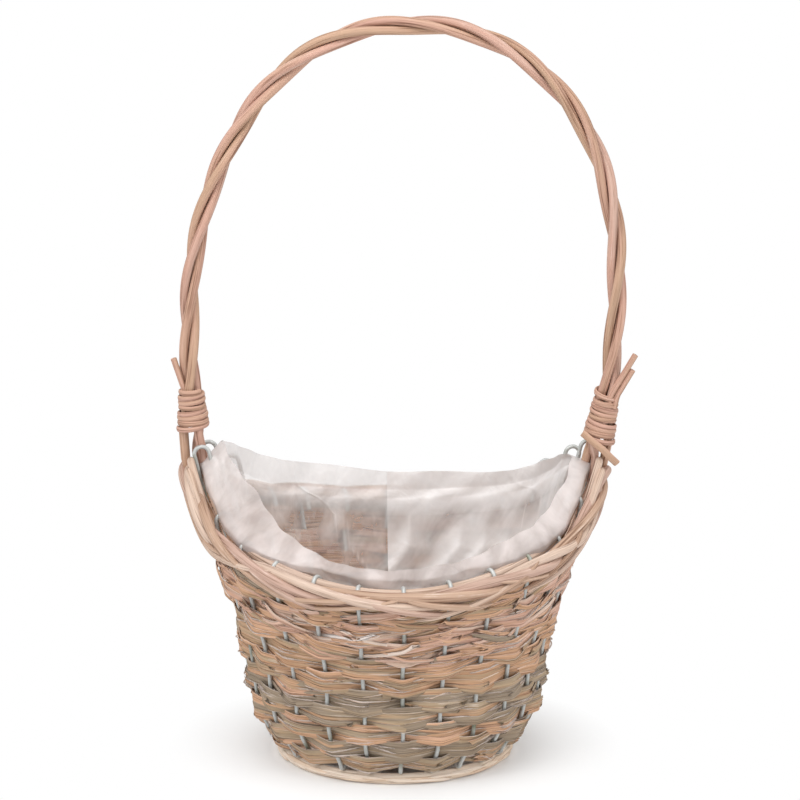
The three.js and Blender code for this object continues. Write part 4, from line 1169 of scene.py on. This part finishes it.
def drawn_folds(height):
    """Long slanting folds beside the gap, where the second layer is drawn up to the right."""
    depth = np.zeros_like(film_angle)
    for place in DRAWN_FOLDS:
        depth += np.exp(-((from_overlap_gap(height) - place) / DRAWN_FOLD_WIDTH) ** 2)
    return DRAWN_FOLD_DEPTH * depth * second_layer


def lay_film(points, fold, cuff_shade):
    """Adds a row to the film: its points, how milky each is, and how much painted shade it takes above the
    rim.
    """
    film_points.append(points)
    film_folds.append(fold)
    film_cuff_shades.append(cuff_shade)


for share in np.linspace(0, 1, LINER_FLOOR_ROWS):
    reach = np.full_like(film_angle, share * LINER_FLOOR_RADIUS)
    height = LINER_FLOOR_HEIGHT + FLOOR_LAYER_GAP * second_layer
    floor_points = placed(film_angle, np.stack([reach, height], axis=1))
    lay_film(floor_points, np.zeros_like(film_angle), np.zeros_like(film_angle))
for row in np.linspace(LINER_WALL_FROM, LINER_WALL_TO, LINER_WALL_ROWS):
    height = row_edge(film_angle, row)
    out = section_frame(wall_section(height - MM), wall_section(height + MM))[1]
    crease = fine_creases(row / ROW_COUNT)
    hanging = np.clip((row - LINER_HANGS_FROM) / LINER_HANGS_OVER, 0, 1) ** 2
    hung = (LINER_RIM_INSET - LINER_WALL_INSET) * hanging
    folded = np.maximum(main_folds(row / (ROW_COUNT - 1)), hung) + drawn_folds(height)
    inset = LINER_WALL_INSET + folded + CREASE_DEPTH * crease + WALL_LAYER_GAP * second_layer
    wall_points = placed(film_angle, wall_section(height) - out * inset[:, None])
    milk = np.maximum(CREASE_MILK * crease, overlap_milk(height))
    lay_film(wall_points, milk, np.zeros_like(film_angle))
hem = np.interp(half_turn(film_angle[:, None] + HEM_SMOOTHING), HEM_ANGLES, HEM_HEIGHTS).mean(axis=1)
hem = hem + HEM_RIPPLE * np.sin(film_angle * 9 + 1)
beside = np.clip((np.abs(np.sin(film_angle)) - 0.45) / 0.35, 0, 1) * np.clip(4 * facing_front + 1, 0, 1)
on_left = np.exp(-((half_turn(film_angle) - LEFT_HEM_ANGLE) / LEFT_HEM_WIDTH) ** 2)
for share in np.linspace(0, 1, LINER_CUFF_ROWS):
    near = np.clip(share + CUFF_SMOOTHING, 0, 1)
    below_hem = near.clip(None, HEM_START)
    to_hem = np.clip((near - HEM_START) / (1 - HEM_START), 0, 1).mean()
    folded_up = np.interp(below_hem, CUFF_SHARES[:-1], CUFF_FOLDED_UP).mean()
    plain_up = np.interp(below_hem, CUFF_SHARES[:-1], CUFF_PLAIN_UP).mean()
    low_up = np.minimum(beside * folded_up + (1 - beside) * plain_up, hem - MM)
    up = low_up * (1 - to_hem) + hem * to_hem
    puff = np.interp(near, CUFF_SHARES, CUFF_FOLDED_OUT).mean() * beside
    crinkle = np.sin(23 * film_angle + 5 * share) * np.sin(9 * film_angle - 4 * share) * share
    crease = fine_creases(0.9 + 0.3 * share)
    lean = (HEM_LEAN + LEFT_HEM_LEAN * on_left) * to_hem ** HEM_LEAN_CURVE
    inset = CUFF_INSET + lean + CUFF_CREASE_DEPTH * crease + CUFF_CRINKLE * crinkle
    inset = inset + WALL_LAYER_GAP * second_layer
    milk = (0.65 + 0.05 * facing_front + 0.2 * second_layer) * np.clip((share + 0.1) / 0.5, 0, 1)
    milk = np.maximum(CREASE_MILK * crease * (1 - share), milk)
    # Painted shade: how much of the darker, mottled colour the film takes above the rim, most where it faces
    # the front.
    cuff_shade = np.clip((share - 0.15) / 0.4, 0, 1) * np.clip(0.6 + 0.8 * facing_front, 0, 1)
    lay_film(rim_point(film_angle, up, puff - inset), milk, cuff_shade)

bpy.ops.object.select_all(action="DESELECT")
bpy.ops.mesh.primitive_grid_add(x_subdivisions=LINER_COLUMNS, y_subdivisions=len(film_points) - 1, size=1)
film = bpy.context.object
film.name = "liner_film"
film.data.vertices.foreach_set("co", np.stack(film_points).reshape(-1))
for name, values in (("fold", film_folds), ("cuff_shade", film_cuff_shades)):
    shares = film.data.attributes.new(name, "FLOAT", "POINT")
    shares.data.foreach_set("value", np.stack(values).clip(0, 1).reshape(-1))
bpy.ops.object.mode_set(mode="EDIT")
bpy.ops.mesh.select_all(action="SELECT")
bpy.ops.mesh.remove_doubles(threshold=MERGE_DISTANCE)
bpy.ops.mesh.normals_make_consistent(inside=True)
bpy.ops.object.mode_set(mode="OBJECT")
bpy.ops.object.shade_smooth()


def milky_film():
    """Thin milky film: clear where it touches the weave, whiter in creases, in patches and at its edge, and
    coloured with painted shade above the rim, mottled along its crinkles.
    """
    material, tree, shader = new_material("milky_film")
    place = object_place(tree)
    crinkle = noise(tree, place, 60.0, 4.0, Distortion=0.4)
    cloud = noise(tree, place, 38.0, 3.0)
    drawn_out = add_node(tree, "ShaderNodeMapping", {
        "Vector": place, "Rotation": (0.2, 0.55, 0.0), "Scale": (0.014, 0.014, 0.07),
    }, vector_type="TEXTURE")
    streak = noise(tree, drawn_out.outputs[0], 1.0, 3.0, Distortion=0.4)
    crease_relief_and_shade = maths(tree, "ADD", crinkle, streak)
    patch = spread_out(tree, maths(tree, "ADD", cloud, streak), 0.8, 1.25)
    inner = mixed(tree, patch, colour(248, 243, 241), colour(254, 251, 250))
    # Painted shade for the film above the rim: a darker colour, mottled along its crinkles.
    outer = mixed(tree, spread_out(tree, crease_relief_and_shade, 0.8, 1.2), colour(182, 171, 167), colour(218, 208, 205))
    clear = maths(tree, "ADD", maths(tree, "MULTIPLY", patch, 0.38), 0.09)
    whiter = maths(tree, "MULTIPLY", attribute(tree, "fold"), maths(tree, "SUBTRACT", 0.97, clear))
    feed(tree, shader, {
        "Base Color": mixed(tree, attribute(tree, "cuff_shade"), inner, outer),
        "Alpha": maths(tree, "ADD", clear, whiter),
        "Normal": bumped(tree, crease_relief_and_shade, 0.5, 2.5 * MM),
        "Roughness": 0.35,
    })
    return material


finish_piece(film, milky_film(), "plastic_liner")


# Stage: a pale floor, soft light from above the front and a long lens at the height of the photograph's.
# The background is white to the camera and to shiny surfaces, and dimmer where it only lights the basket.
FLOOR_SIZE = 12.0
FLOOR_FADE_START = 0.055
FLOOR_FADE_END = 0.12
WHITE = (1.0, 1.0, 1.0, 1.0)
WORLD_LIGHT = 0.62
LAMP_AIM = Vector((0, 0, 0.15))
LAMPS = {
    "front_soft_box": {"place": (-1.2, -1.2, 1.6), "power": 17.0, "size": 1.2},
    "side_soft_box": {"place": (1.5, -0.9, 1.0), "power": 7.0, "size": 1.0},
    "top_soft_box": {"place": (0.0, -0.7, 2.1), "power": 22.0, "size": 1.4},
}
PICTURE_SIDE = 800
MM_PER_PIXEL = 0.520
CAMERA_ELEVATION = math.radians(15.5)
CAMERA_RANGE = 50
LENS = 300.0
SENSOR = 36.0
AIM = np.array([2.6, 0, 190.5]) * MM


def seen_directly(tree):
    """1 for what is seen, straight or by a shiny or clear surface, and 0 for what only gives light."""
    ray = add_node(tree, "ShaderNodeLightPath", {}).outputs
    seen = maths(tree, "MAXIMUM", ray["Is Camera Ray"], ray["Is Glossy Ray"])
    return maths(tree, "MAXIMUM", seen, ray["Is Transmission Ray"])


bpy.ops.object.select_all(action="DESELECT")
bpy.ops.mesh.primitive_plane_add(size=FLOOR_SIZE)
floor = bpy.context.object
floor.name = "floor"
paper, paper_tree, paper_shader = new_material("floor_paper")
paper_place = object_place(paper_tree)
paper_mottle = noise(paper_tree, paper_place, 40.0, 2.0)
paper_tint = mixed(paper_tree, paper_mottle, colour(246, 246, 246), colour(250, 250, 250))
feed(paper_tree, paper_shader, {"Base Color": paper_tint, "Roughness": 0.9})
paper_far = add_node(paper_tree, "ShaderNodeVectorMath", {0: paper_place}, operation="LENGTH")
paper_fade = spread_out(paper_tree, paper_far.outputs["Value"], FLOOR_FADE_START, FLOOR_FADE_END)
paper_white = add_node(paper_tree, "ShaderNodeEmission", {"Color": WHITE, "Strength": 1.0})
paper_mix = add_node(paper_tree, "ShaderNodeMixShader", {
    0: maths(paper_tree, "MULTIPLY", paper_fade, seen_directly(paper_tree)),
    1: paper_shader.outputs[0],
    2: paper_white.outputs[0],
})
feed(paper_tree, paper_tree.nodes["Material Output"], {"Surface": paper_mix.outputs[0]})
floor.data.materials.append(paper)

world = bpy.data.worlds.new("studio")
bpy.context.scene.world = world
world.use_nodes = True
sky_tree = world.node_tree
glow_inputs = {"Value": seen_directly(sky_tree), "To Min": WORLD_LIGHT, "To Max": 1.0}
glow = add_node(sky_tree, "ShaderNodeMapRange", glow_inputs).outputs[0]
feed(sky_tree, sky_tree.nodes["Background"], {"Strength": glow, "Color": WHITE})

for name, box in LAMPS.items():
    bpy.ops.object.light_add(type="AREA", location=box["place"])
    lamp = bpy.context.object
    lamp.name = name
    lamp.data.energy = box["power"]
    lamp.data.size = box["size"]
    lamp.rotation_mode = "QUATERNION"
    lamp.rotation_quaternion = (LAMP_AIM - Vector(box["place"])).to_track_quat("-Z", "Y")

camera_data = bpy.data.cameras.new("photo_camera")
camera_data.lens = LENS
camera_data.sensor_width = SENSOR
camera_data.clip_end = CAMERA_RANGE
camera = bpy.data.objects.new("photo_camera", camera_data)
bpy.context.scene.collection.objects.link(camera)
camera_distance = PICTURE_SIDE * MM_PER_PIXEL * MM * LENS / SENSOR
backwards = np.array([0, -math.cos(CAMERA_ELEVATION), math.sin(CAMERA_ELEVATION)])
camera.location = AIM + camera_distance * backwards
camera.rotation_euler = (math.pi / 2 - CAMERA_ELEVATION, 0, 0)
bpy.context.scene.camera = camera
bpy.context.scene.view_settings.view_transform = "Standard"
